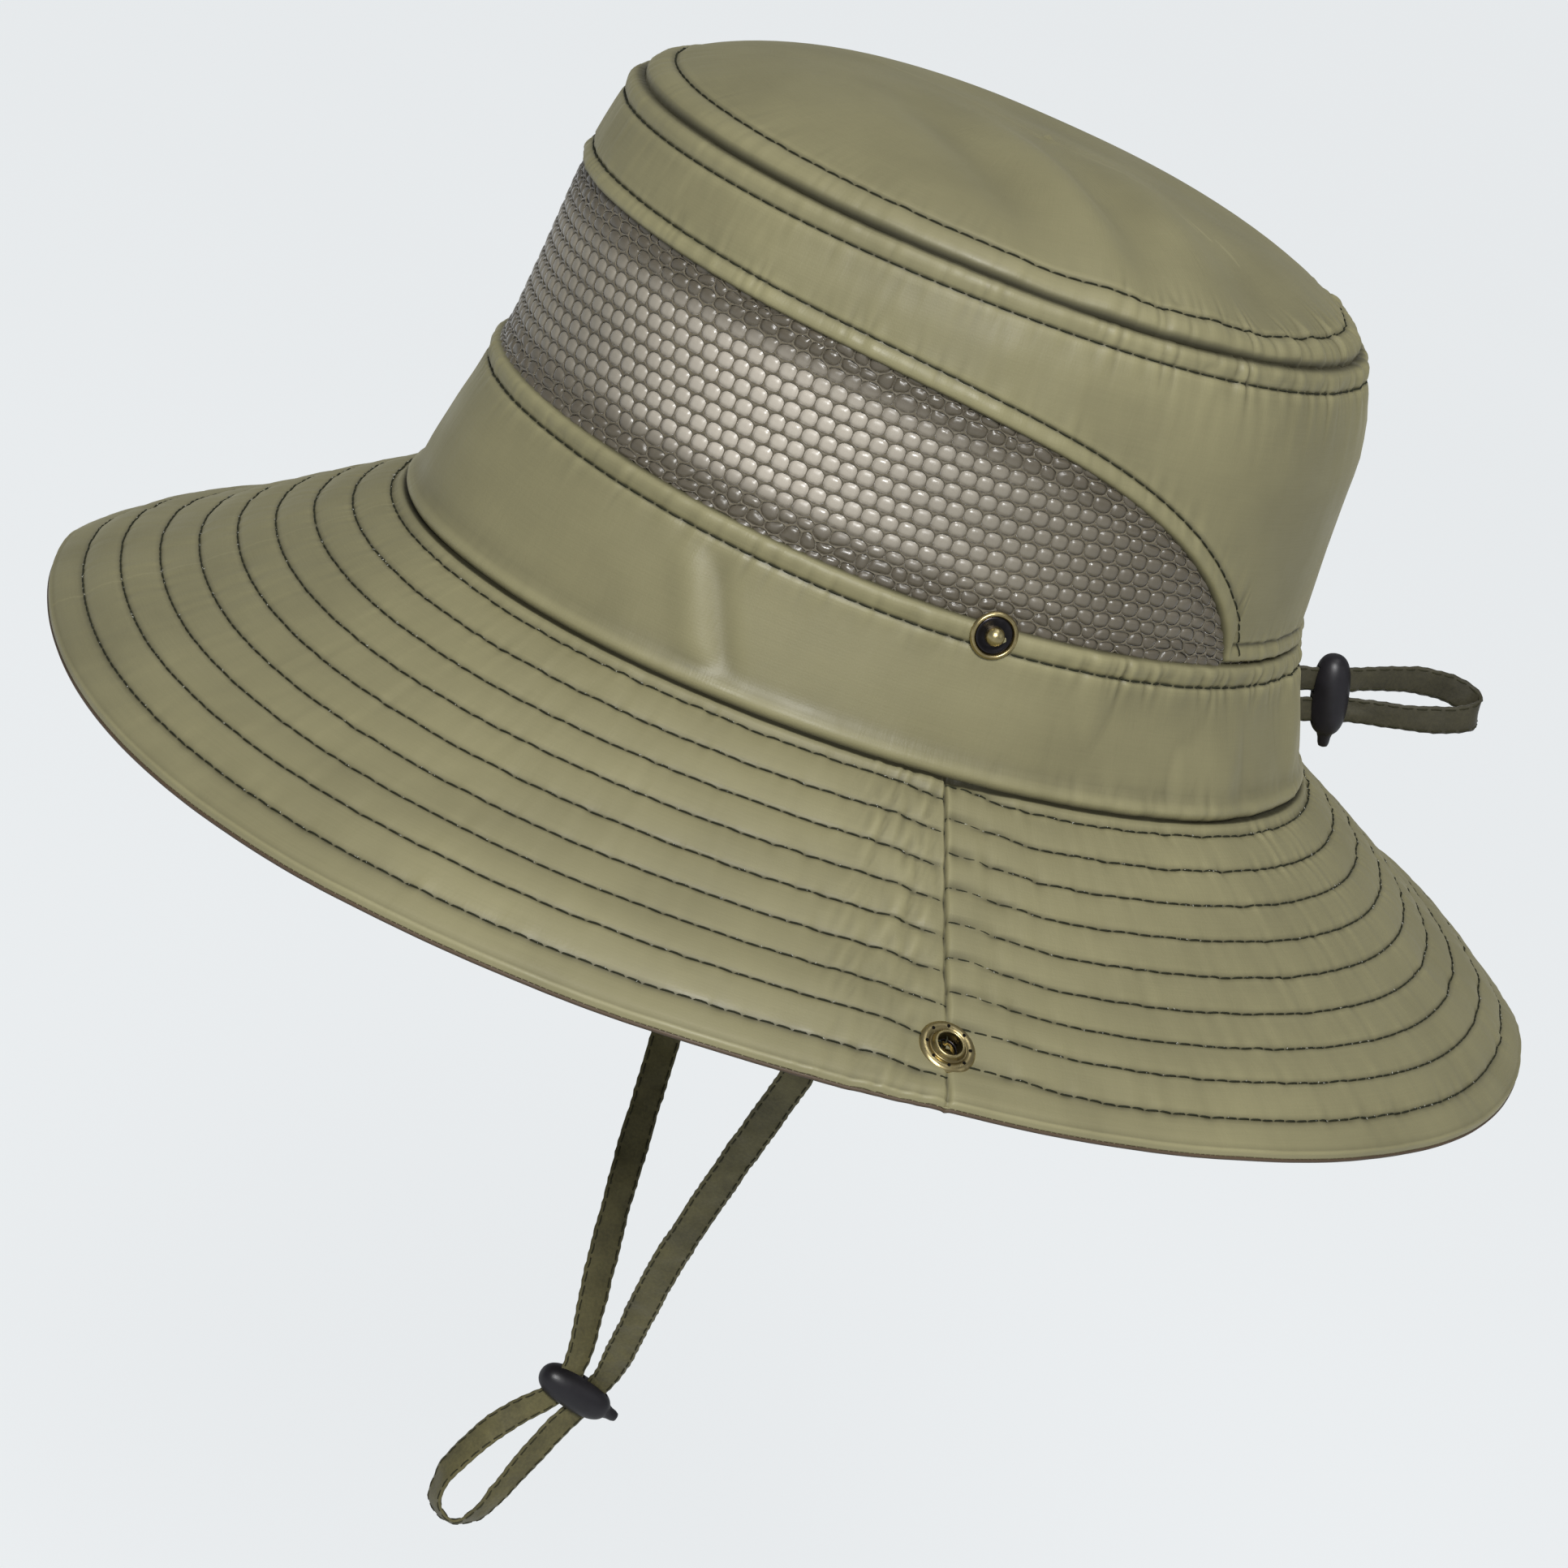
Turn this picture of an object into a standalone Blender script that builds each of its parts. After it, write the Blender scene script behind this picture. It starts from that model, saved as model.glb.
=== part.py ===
"""A boonie hat: a cloth bucket crown with a net vent band, and a wide quilted brim.

The hat sits in its wearing position: +Z is up, the front is at -Y, and the wearer's left is at +X.
The origin is the middle of the head opening, in the plane of the seam between crown and brim.

Every cloth piece is a flat grid that is bent into place and then given its thickness. The two sides of
the brim fold up and snap to the crown, and a rubber bead slides on the chin strap and on the drawstring.
"""

import math

import bmesh
import bpy
import numpy as np
from mathutils import Matrix, Vector

MM = 0.001

# Thicknesses and the clearance between pieces.
CLOTH = 0.6 * MM
THIN_CLOTH = 0.4 * MM
GAP = 0.3 * MM
MERGE = 0.001 * MM

# The crown's outside, as heights with the reach forwards, backwards and sideways at each.
CROWN_HEIGHTS = np.array([0, 10, 20, 30, 42, 58, 74, 86, 96.5, 100]) * MM
CROWN_FRONT = np.array([103, 101.8, 99.7, 96.8, 94.5, 93, 91.8, 90, 86.8, 84.5]) * MM
CROWN_BACK = np.array([103, 99.5, 94.5, 89.8, 89.2, 88, 86.6, 83.5, 77.5, 74.5]) * MM
CROWN_SIDE = np.array([85.5, 83.5, 81.8, 80.5, 80, 79.5, 78.8, 77.8, 75, 73]) * MM
TOP_SEAM_HEIGHT = 97.3 * MM
TOP_SEAM_TILT = 1.9 * MM
TOP_DOME_RISE = 16.9 * MM
TOP_DOME_LEAN = 1.6 * MM

# The net panel runs round the front. Its lower edge dips at the sides, and its upper edge arches down
# to meet it behind each side. Angles are counted from the front of the hat, in degrees.
NET_END = 128.5
NET_LAST_STATION = 128
NET_ARCH_SPAN = 73.5
NET_RISE = 40.7 * MM
NET_LOW_SIDE = 32.5 * MM
NET_LOW_DIP = 4.8 * MM
LINING_CLEARANCE = 3 * MM

# The brim: a cone from the crown's seam down to the rim, which dips a little in front and rises behind.
RIM_FRONT = 167.9 * MM
RIM_BACK = 172.2 * MM
RIM_SIDE = 153.7 * MM
RIM_DROP = 40.9 * MM
RIM_FRONT_DIP = 4.1 * MM
RIM_BACK_RISE = 1.5 * MM
RIM_FULLNESS = 0.046
SEAM_ALLOWANCE = 0.3 * MM

# Where the sides of the brim fold: a straight line along Y, in the brim's upper surface.
FOLD_FROM_CROWN = 18.5 * MM

# Snap fasteners, on the side meridian.
STUD_HEIGHT = 30.5 * MM
STUD_REACH = 5 * MM
SOCKET_SHARE = 0.827
POST_HOLE = 1.4 * MM
BARREL_HOLE = 3.6 * MM

# The sweatband and the channel that it leaves for the drawstring.
SWEATBAND_DEPTH = 2.6 * MM
SWEATBAND_LOW, SWEATBAND_HIGH = 1 * MM, 29 * MM
CHANNEL_DEPTH = 1.6 * MM
TAB_CLEARANCE = 2 * MM

# Flat ribbon, and the rubber beads that grip two runs of it.
RIBBON_WIDTH = 5.6 * MM
STRAP_WIDTH, LOOP_WIDTH = 7.2 * MM, 6.4 * MM
STRAP_TURN = 0.3
RIBBON_THICKNESS = 0.9 * MM
BEAD_LENGTH, BEAD_THICKNESS = 19 * MM, 8.6 * MM
BEAD_HOLE_OFFSET = 3.6 * MM
BEAD_SLOT = (6.4 * MM, 2 * MM)
BEAD_BLUNTNESS = 2.7
CHIN_BEAD = Vector((0, 1.9 * MM, -194.5 * MM))
CHIN_BEAD_TILT = math.radians(-20)
BACK_BEAD = Vector((0, 108.4 * MM, 14.8 * MM))
BACK_BEAD_TILT = math.radians(-75)

# Routes of the ribbons, in millimetres.
CHIN_STRAP_LEFT = (
    (77.5, 8.5, 1.1), (77.4, 8.6, -7), (75.8, 8.6, -20), (69.6, 8.2, -40), (60.0, 7.2, -64),
    (47.5, 6.0, -91), (34.0, 5.0, -119), (20.0, 4.7, -149), (8.8, 6.4, -172.6), (2.4, 7.4, -186.2),
    (0.2, 6.6, -192.0), (0, 5.2, -195.8),
)
CHIN_STRAP_RIGHT = (
    (-77.5, 8.5, 1.1), (-77.4, 8.6, -7), (-75.8, 8.6, -20), (-69.6, 8.2, -40), (-60.0, 7.0, -64),
    (-47.5, 5.2, -91), (-34.0, 3.0, -119), (-20.0, 1.0, -148), (-8.8, 0.3, -170.8), (-2.4, 0.4, -183.6),
    (-0.2, -0.2, -189.6), (0, -1.6, -193.4),
)
CHIN_LOOP = (
    (0, 5.1, -196.4), (0, 3.4, -199.8), (0.3, 0.4, -205.6), (0.6, -2.9, -213.4), (0.9, -6.0, -221.6),
    (0.9, -9.2, -229.0), (0.4, -13.0, -233.2), (-0.3, -16.8, -233.6), (-0.8, -19.9, -230.6),
    (-1.0, -20.4, -225.4), (-1.0, -18.6, -219.0), (-0.8, -14.4, -210.6), (-0.4, -9.0, -203.2),
    (0, -3.6, -197.4), (0, -1.9, -193.8),
)
BACK_LOOP = (
    (0, 95.0, 16.2), (0, 99.2, 16.4), (0, 103.6, 17.2), (0, 107.5, 18.3), (0, 111.4, 19.3),
    (-0.9, 116.0, 20.4), (-2.0, 122.0, 21.8), (-2.9, 128.6, 22.8), (-3.3, 135.0, 23.0),
    (-2.6, 140.6, 22.2), (0, 143.0, 21.0), (2.6, 141.0, 19.4), (3.3, 136.0, 17.6), (2.9, 130.0, 16.0),
    (2.0, 123.5, 14.6), (0.9, 117.8, 13.5), (0, 113.2, 12.4), (0, 109.3, 11.3), (0, 105.4, 10.3),
    (0, 102.0, 9.6), (0, 98.6, 9.2),
)

HAT = bpy.data.collections.new("boonie_hat")
CUTTERS = bpy.data.collections.new("cutters")


# ---------------------------------------------------------------- surfaces


def reach(height, column):
    return float(np.interp(height, CROWN_HEIGHTS, column))


def crown_point(angle, height, inset=0.0):
    """A point on the crown's wall. The angle is in radians, from the left side towards the back."""
    along = reach(height, CROWN_BACK if math.sin(angle) > 0 else CROWN_FRONT) - inset
    return Vector(((reach(height, CROWN_SIDE) - inset) * math.cos(angle), along * math.sin(angle), height))


def top_seam(angle):
    return TOP_SEAM_HEIGHT - TOP_SEAM_TILT * math.sin(angle)


def from_front(angle):
    """How far an angle is from the front of the hat, in degrees from 0 to 180."""
    return math.degrees(math.acos(max(-1.0, min(1.0, -math.sin(angle)))))


def net_low(angle):
    return NET_LOW_SIDE + NET_LOW_DIP * max(-math.sin(angle), 0) ** 1.6


def net_high(angle):
    share = max(0.0, min(1.0, (NET_END - from_front(angle)) / NET_ARCH_SPAN))
    return net_low(angle) + NET_RISE * (1 - (1 - share) ** 2.6) ** (1 / 1.4)


def crown_top_point(angle, share):
    """A point on the domed top: share 1 is its seam and 0 its middle."""
    rim = crown_point(angle, top_seam(angle))
    height = TOP_SEAM_HEIGHT - TOP_SEAM_TILT * math.sin(angle) * share
    peak = TOP_DOME_RISE - TOP_DOME_LEAN * math.sin(angle) * share
    rise = peak * max(0.0, 1 - share**3.25) ** 0.79
    return Vector((rim.x * share, rim.y * share, height + rise))


def brim_point(angle, share):
    """A point on the brim's upper face: share 0 is the crown's seam and 1 the rim."""
    inner = crown_point(angle, 0, -SEAM_ALLOWANCE)
    backwards = math.sin(angle)
    along, lift = (RIM_BACK, RIM_BACK_RISE) if backwards > 0 else (RIM_FRONT, RIM_FRONT_DIP)
    full = 1 + RIM_FULLNESS * math.sin(2 * angle) ** 2 * max(-backwards, 0)
    outer = Vector((RIM_SIDE * math.cos(angle) * full, along * backwards * full, lift * backwards - RIM_DROP))
    return inner.lerp(outer, share)


BRIM_SLOPE = (brim_point(0, 1) - brim_point(0, 0)).normalized()
FOLD = brim_point(0, 0) + BRIM_SLOPE * FOLD_FROM_CROWN


# ---------------------------------------------------------------- scene and materials


def clear_scene():
    for thing in list(bpy.data.objects):
        bpy.data.objects.remove(thing)
    for made in (HAT, CUTTERS):
        bpy.context.scene.collection.children.link(made)


def material(name, colour, roughness, metallic=0.0):
    made = bpy.data.materials.new(name)
    made.use_nodes = True
    shader = made.node_tree.nodes["Principled BSDF"]
    shader.inputs["Base Color"].default_value = (*colour, 1)
    shader.inputs["Roughness"].default_value = roughness
    shader.inputs["Metallic"].default_value = metallic
    made.diffuse_color = (*colour, 1)
    return made


def make_materials():
    return {
        "shell": material("olive_nylon", (0.270, 0.250, 0.150), 0.55),
        "net": material("taupe_net", (0.150, 0.125, 0.095), 0.6),
        "lining": material("pale_tricot", (0.330, 0.300, 0.235), 0.7),
        "inner": material("inner_cloth", (0.210, 0.195, 0.120), 0.8),
        "ribbon": material("dark_olive_ribbon", (0.085, 0.078, 0.040), 0.7),
        "brass": material("antique_brass", (0.420, 0.330, 0.130), 0.35, 1.0),
        "dark_metal": material("blackened_metal", (0.025, 0.024, 0.022), 0.45, 0.8),
        "rubber": material("black_rubber", (0.020, 0.018, 0.022), 0.5),
    }


# ---------------------------------------------------------------- modelling helpers


def add_object(name, mesh_source, finish, collection=HAT):
    """Makes an object from a bmesh, which is freed."""
    mesh = bpy.data.meshes.new(name)
    mesh_source.to_mesh(mesh)
    mesh_source.free()
    made = bpy.data.objects.new(name, mesh)
    collection.objects.link(made)
    if finish:
        mesh.materials.append(finish)
    return made


def smooth(made, angle=50):
    made.data.shade_smooth()
    made.data.set_sharp_from_angle(angle=math.radians(angle))
    return made


def bent_grid(place, columns, rows, depth=0.0):
    """A grid bent so that its corner (column, row) lies at place(column, row), then sunk by depth."""
    grid = bmesh.new()
    bmesh.ops.create_grid(grid, x_segments=len(columns) - 1, y_segments=len(rows) - 1, size=0.5)
    for vertex in grid.verts:
        column = columns[round((vertex.co.x + 0.5) * (len(columns) - 1))]
        row = rows[round((vertex.co.y + 0.5) * (len(rows) - 1))]
        vertex.co = place(column, row)
    bmesh.ops.remove_doubles(grid, verts=grid.verts, dist=MERGE)
    grid.normal_update()
    moves = [(vertex, vertex.normal * depth) for vertex in grid.verts]
    for vertex, move in moves:
        vertex.co -= move
    return grid


def trim(grid, point, normal):
    """Cuts away the part of an open sheet on the side that normal points to."""
    everything = [*grid.verts, *grid.edges, *grid.faces]
    bmesh.ops.bisect_plane(grid, geom=everything, plane_co=point, plane_no=normal, clear_outer=True)


def sheet(name, grid, thickness, finish, offset=-1.0):
    """A cloth piece: an open surface that is thickened inwards."""
    made = smooth(add_object(name, grid, finish))
    solid = made.modifiers.new("thickness", "SOLIDIFY")
    solid.thickness = thickness
    solid.offset = offset
    return made


def cut(made, cutter):
    hole = made.modifiers.new("cut", "BOOLEAN")
    hole.operation = "DIFFERENCE"
    hole.solver = "EXACT"
    hole.object = cutter


def as_cutter(made):
    made.hide_render = True
    made.display_type = "WIRE"
    return made


def facing(place, normal):
    """A frame at place whose Z axis runs along normal."""
    return Matrix.Translation(place) @ normal.to_track_quat("Z", "Y").to_matrix().to_4x4()


def round_cutter(name, frame, radius, half_length):
    shape = bmesh.new()
    bmesh.ops.create_cone(
        shape, cap_ends=True, segments=16, radius1=radius, radius2=radius, depth=2 * half_length
    )
    made = as_cutter(add_object(name, shape, None, CUTTERS))
    made.matrix_world = frame
    return made


def box_cutter(name, frame, size):
    shape = bmesh.new()
    bmesh.ops.create_cube(shape, size=1.0, matrix=Matrix.Diagonal((*size, 1)))
    made = as_cutter(add_object(name, shape, None, CUTTERS))
    made.matrix_world = frame
    return made


def turned(name, profile, frame, finish, steps=16):
    """A closed profile of (radius, height) points in millimetres, turned about the frame's Z axis."""
    outline = bmesh.new()
    corners = [outline.verts.new((radius * MM, 0, height * MM)) for radius, height in profile]
    closed = profile[0][0] > 0
    ends = zip(corners, corners[1:] + corners[:1] if closed else corners[1:])
    for start, end in ends:
        outline.edges.new((start, end))
    made = add_object(name, outline, finish)
    screw = made.modifiers.new("turn", "SCREW")
    screw.steps = steps
    screw.render_steps = steps
    screw.use_merge_vertices = True
    screw.merge_threshold = MERGE
    made.matrix_world = frame
    return made


# ---------------------------------------------------------------- crown


def stations():
    """The angles at which the crown's pieces have their corners, the same for each piece."""
    half = [*range(0, 121, 6), 124, NET_LAST_STATION, *range(132, 181, 6)]
    full = [-a for a in reversed(half[1:])] + half
    return [math.radians(a - 90) for a in full]


def between(low, high):
    """Places a grid on the crown's wall between two edges, which are functions of the angle."""
    return lambda angle, share: crown_point(angle, low(angle) + (high(angle) - low(angle)) * share)


def net_stations():
    return [angle for angle in stations() if from_front(angle) <= NET_LAST_STATION + 0.01]


def make_crown(finishes):
    around = stations()
    half = GAP / 2
    top = bent_grid(crown_top_point, around, [1, 0.97, 0.91, 0.8, 0.6, 0.3, 0])
    sheet("crown_top", top, CLOTH, finishes["shell"])

    panel = between(lambda a: net_high(a) + half, lambda a: top_seam(a) - GAP - CLOTH)
    sheet("crown_side_panel", bent_grid(panel, around, [0, 0.33, 0.67, 1]), CLOTH, finishes["shell"])

    net = between(lambda a: net_low(a) + half, lambda a: net_high(a) - half)
    sheet("mesh_panel", bent_grid(net, net_stations(), [0, 0.5, 1]), CLOTH, finishes["net"])
    behind = between(lambda a: net_low(a) + LINING_CLEARANCE, lambda a: net_high(a) - half)
    lining = bent_grid(behind, net_stations()[1:-1], [0, 0.5, 1], CLOTH + GAP)
    sheet("mesh_lining", lining, THIN_CLOTH, finishes["lining"])

    band = between(lambda a: GAP, lambda a: net_low(a) - half)
    lower = sheet("crown_lower_band", bent_grid(band, around, [0, 0.33, 0.67, 1]), CLOTH, finishes["shell"])
    sweat = between(lambda a: SWEATBAND_LOW, lambda a: SWEATBAND_HIGH)
    sheet(
        "sweatband", bent_grid(sweat, around, [0, 0.5, 1], SWEATBAND_DEPTH), 2 * CLOTH, finishes["inner"]
    )
    return lower


# ---------------------------------------------------------------- brim


def brim_layer(layer, depth, thickness, finish, halves, side_sign, side):
    """One layer's pieces in one zone: the middle (side_sign 0), or the side that folds."""
    around = [math.radians(a) for a in range(0, 361, 6)]
    made = []
    for half_name, half_sign in halves:
        grid = bent_grid(brim_point, around, [1, 0.5, 0], depth)
        if half_sign:
            trim(grid, (0, half_sign * GAP / 2, 0), (0, -half_sign, 0))
        if side_sign:
            trim(grid, (side_sign * (FOLD.x + GAP / 2), 0, 0), (-side_sign, 0, 0))
        else:
            trim(grid, (FOLD.x - GAP / 2, 0, 0), (1, 0, 0))
            trim(grid, (GAP / 2 - FOLD.x, 0, 0), (-1, 0, 0))
        name = "_".join(part for part in (layer, side, half_name) if part)
        made.append(sheet(name, grid, thickness, finish))
    return made


def make_brim(finishes, barrel_holes):
    two_halves = (("front", -1), ("back", 1))
    step = CLOTH + GAP
    layers = (
        ("brim_upper", 0, finishes["shell"], two_halves),
        ("brim_stiffener", step, finishes["inner"], (("", 0),)),
        ("brim_under", 2 * step, finishes["shell"], two_halves),
    )
    for layer, depth, finish, halves in layers:
        brim_layer(layer, depth, CLOTH, finish, halves, 0, "")
        for side, side_sign in (("left", 1), ("right", -1)):
            for piece in brim_layer(layer, depth, CLOTH, finish, halves, side_sign, side):
                cut(piece, barrel_holes[side])


# ---------------------------------------------------------------- snap fasteners

STUD_WASHER = ((3.3, 0.45), (3.3, 1.1), (3.9, 1.5), (4.6, 1.4), (5.1, 0.9), (4.9, 0.45))
STUD_CUP = ((1.5, 0.45), (1.5, 0.8), (3.0, 0.8), (3.0, 0.45))
STUD_POST = ((0, 3.4), (1.2, 3.2), (1.9, 2.5), (1.8, 1.8), (1.15, 1.3), (1.15, -1.9), (0, -1.9))
STUD_BACKING = ((1.45, -1.5), (1.45, -0.95), (4.4, -0.95), (4.4, -1.5))
SOCKET_RING = (
    (2.7, -2.6), (2.7, 0.6), (2.5, 1.5), (3.2, 1.8), (4.2, 1.3), (5.4, 1.2), (6.0, 0.7), (5.8, 0.35),
    (3.3, 0.35), (3.3, -2.6),
)
SOCKET_SPRING = ((1.95, -0.6), (1.95, 0.2), (2.4, 0.2), (2.4, -0.6))
SOCKET_CAP = ((0, -3.1), (4.9, -3.1), (5.3, -3.4), (4.6, -4.0), (0, -4.2))


def stud_frame(side_sign):
    below, above = (crown_point(0, STUD_HEIGHT + rise) for rise in (-STUD_REACH, STUD_REACH))
    place, wall = (below + above) / 2, (above - below).normalized()
    return facing(Vector((side_sign * place.x, 0, place.z)), Vector((side_sign * wall.z, 0, -wall.x)))


def socket_frame(side_sign):
    place = brim_point(0, 0).lerp(brim_point(0, 1), SOCKET_SHARE)
    upward = Vector((-BRIM_SLOPE.z, 0, BRIM_SLOPE.x))
    return facing(Vector((side_sign * place.x, 0, place.z)), Vector((side_sign * upward.x, 0, upward.z)))


def make_snaps(finishes, lower_band):
    """The studs on the crown and the sockets on the brim. Returns the cutters of the sockets' holes."""
    holes = {}
    for side, side_sign in (("left", 1), ("right", -1)):
        stud = stud_frame(side_sign)
        turned(f"stud_washer_{side}", STUD_WASHER, stud, finishes["brass"])
        turned(f"stud_cup_{side}", STUD_CUP, stud, finishes["dark_metal"])
        turned(f"stud_post_{side}", STUD_POST, stud, finishes["brass"], 12)
        turned(f"stud_backing_{side}", STUD_BACKING, stud, finishes["dark_metal"])
        cut(lower_band, round_cutter(f"post_hole_{side}", stud, POST_HOLE, 4 * MM))

        socket = socket_frame(side_sign)
        turned(f"socket_ring_{side}", SOCKET_RING, socket, finishes["brass"])
        turned(f"socket_spring_{side}", SOCKET_SPRING, socket, finishes["dark_metal"], 12)
        turned(f"socket_cap_{side}", SOCKET_CAP, socket, finishes["brass"])
        holes[side] = round_cutter(f"barrel_hole_{side}", socket, BARREL_HOLE, 4 * MM)
    return holes


# ---------------------------------------------------------------- ribbons


def smooth_route(points, count):
    """Evenly shared places on a Catmull-Rom curve through points given in millimetres."""
    knots = [Vector(p) * MM for p in points]
    knots = [2 * knots[0] - knots[1], *knots, 2 * knots[-1] - knots[-2]]
    route = []
    for step in range(count):
        place = step / (count - 1) * (len(points) - 1)
        span = min(int(place), len(points) - 2)
        t = place - span
        a, b, c, d = knots[span : span + 4]
        route.append(
            0.5 * (2 * b + (c - a) * t + (2 * a - 5 * b + 4 * c - d) * t**2 + (3 * b - a - 3 * c + d) * t**3)
        )
    return route


def directions(route):
    """The route's unit direction at each of its points."""
    ends = zip([route[0], *route[:-1]], [*route[1:], route[-1]])
    return [(after - before).normalized() for before, after in ends]


def ribbon(name, route, across, finish, widths=None):
    """A flat ribbon along a route. across gives its width's direction at each point."""
    widths = widths or [RIBBON_WIDTH] * len(route)

    def place(step, side):
        return route[step] + across[step] * (side * widths[step] / 2)

    grid = bent_grid(place, range(len(route)), [-1, 1])
    return sheet(name, grid, RIBBON_THICKNESS, finish, 0.0)


def widths_between(shares, full, starts, ends):
    """Widths that are full between the shares starts and ends, and narrow towards both ends of a ribbon."""
    made = []
    for share in shares:
        near = max((starts - share) / max(starts, 0.01), (share - ends) / max(1 - ends, 0.01), 0)
        made.append(full + (RIBBON_WIDTH - full) * min(1.8 * near, 1))
    return made


def bead_axis(tilt):
    """The direction of a bead's long axis, in the YZ plane."""
    return Vector((0, math.cos(tilt), math.sin(tilt)))


def square_to(direction, wish):
    """The direction nearest to wish that is square to direction."""
    return (wish - direction * wish.dot(direction)).normalized()


def chin_strap(name, points, finish):
    """A strap that hangs from the sweatband with its width along Y and turns a little to meet the bead."""
    route = smooth_route(points, 30)
    axis = bead_axis(CHIN_BEAD_TILT)
    ways = directions(route)
    last = len(route) - 1
    shares = [i / last for i in range(last + 1)]
    across = []
    for share, way in zip(shares, ways):
        turned_out = Vector((STRAP_TURN * math.sin(math.pi * share), 1, 0))
        across.append(square_to(way, turned_out.lerp(axis, share)))
    return ribbon(name, route, across, finish, widths_between(shares, STRAP_WIDTH, 0, 0.72))


def chin_loop(finish):
    """The loop under the bead. The ribbon turns on edge round the bottom, as a hoop does."""
    route = smooth_route(CHIN_LOOP, 42)
    shares = [i / (len(route) - 1) for i in range(len(route))]
    across = []
    for share, way in zip(shares, directions(route)):
        turn = math.radians(75) * math.sin(math.pi * share**1.4) ** 2
        in_plane = way.cross(Vector((1, 0, 0))).normalized()
        across.append(square_to(way, in_plane * math.cos(turn) + Vector((1, 0, 0)) * math.sin(turn)))
    return ribbon("chin_loop", route, across, finish, widths_between(shares, LOOP_WIDTH, 0.25, 0.75))


def back_loop(finish):
    """The drawstring's ends outside the crown: out of one slot, through the bead, round and back."""
    route = smooth_route(BACK_LOOP, 46)
    axis = bead_axis(BACK_BEAD_TILT)
    across = [square_to(way, axis) for way in directions(route)]
    shares = [i / (len(route) - 1) for i in range(len(route))]
    return ribbon("drawstring_loop", route, across, finish, widths_between(shares, LOOP_WIDTH, 0.4, 0.6))


def channel_run(side, side_sign, height, finish):
    """The drawstring's hidden run between the lower band and the sweatband."""
    first, last, steps = math.radians(14), math.radians(89.2), 16
    flip = Vector((side_sign, 1, 1))
    route, across = [], []
    for i in range(steps + 1):
        angle = first + (last - first) * i / steps
        below, above = (crown_point(angle, height + rise, CHANNEL_DEPTH) for rise in (-MM, MM))
        route.append((below + above) / 2 * flip)
        across.append(((above - below) * flip).normalized())
    return ribbon(f"drawstring_run_{side}", route, across, finish)


def make_bead(name, centre, tilt, finish):
    """A rubber cord stop: a rounded bar with a nib on one end and two flat holes through it."""
    axis = bead_axis(tilt)
    turn = Matrix.Rotation(tilt, 4, "X")
    frame = Matrix.Translation(centre) @ turn
    body = bmesh.new()
    thick = BEAD_THICKNESS / 2
    bmesh.ops.create_uvsphere(body, u_segments=20, v_segments=14, radius=1.0)
    for vertex in body.verts:
        wide = math.hypot(vertex.co.x, vertex.co.y)
        blunt = (1 - abs(vertex.co.z) ** BEAD_BLUNTNESS) ** (1 / BEAD_BLUNTNESS) if wide > 1e-6 else 0
        spread = thick * blunt / wide if wide > 1e-6 else 0
        vertex.co = (vertex.co.x * spread, vertex.co.y * spread, vertex.co.z * BEAD_LENGTH / 2)
    bmesh.ops.rotate(body, verts=body.verts, matrix=Matrix.Rotation(math.radians(-90), 3, "X"))
    bead = smooth(add_object(name, body, finish))
    bead.matrix_world = frame

    nib = bmesh.new()
    bmesh.ops.create_cone(
        nib, cap_ends=True, segments=12, radius1=1.5 * MM, radius2=1.1 * MM, depth=5 * MM,
        matrix=Matrix.Rotation(math.radians(-90), 4, "X"),
    )
    nib_object = as_cutter(add_object(f"{name}_nib", nib, None, CUTTERS))
    nib_object.matrix_world = Matrix.Translation(centre + axis * (BEAD_LENGTH / 2 + 0.4 * MM)) @ turn
    join = bead.modifiers.new("nib", "BOOLEAN")
    join.operation = "UNION"
    join.object = nib_object

    for number, sign in enumerate((-1, 1)):
        hole_frame = Matrix.Translation(centre + axis * (sign * BEAD_HOLE_OFFSET)) @ turn
        size = (BEAD_SLOT[1], BEAD_SLOT[0], 3 * BEAD_THICKNESS)
        cut(bead, box_cutter(f"{name}_hole_{number}", hole_frame, size))
    return bead


def make_strap_tab(side, side_sign, finish):
    """The folded tab that sews a chin strap's end to the inside of the sweatband."""
    shape = bmesh.new()
    bmesh.ops.create_cube(shape, size=1.0, matrix=Matrix.Diagonal((0.8 * MM, 9 * MM, 12 * MM, 1)))
    made = add_object(f"chin_strap_tab_{side}", shape, finish)
    place = crown_point(math.radians(6), 7.5 * MM, SWEATBAND_DEPTH + 2 * CLOTH + GAP + TAB_CLEARANCE)
    made.matrix_world = Matrix.Translation((side_sign * place.x, 8.5 * MM, place.z))
    edge = made.modifiers.new("edge", "BEVEL")
    edge.width = 0.3 * MM
    edge.segments = 1
    return made


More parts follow.
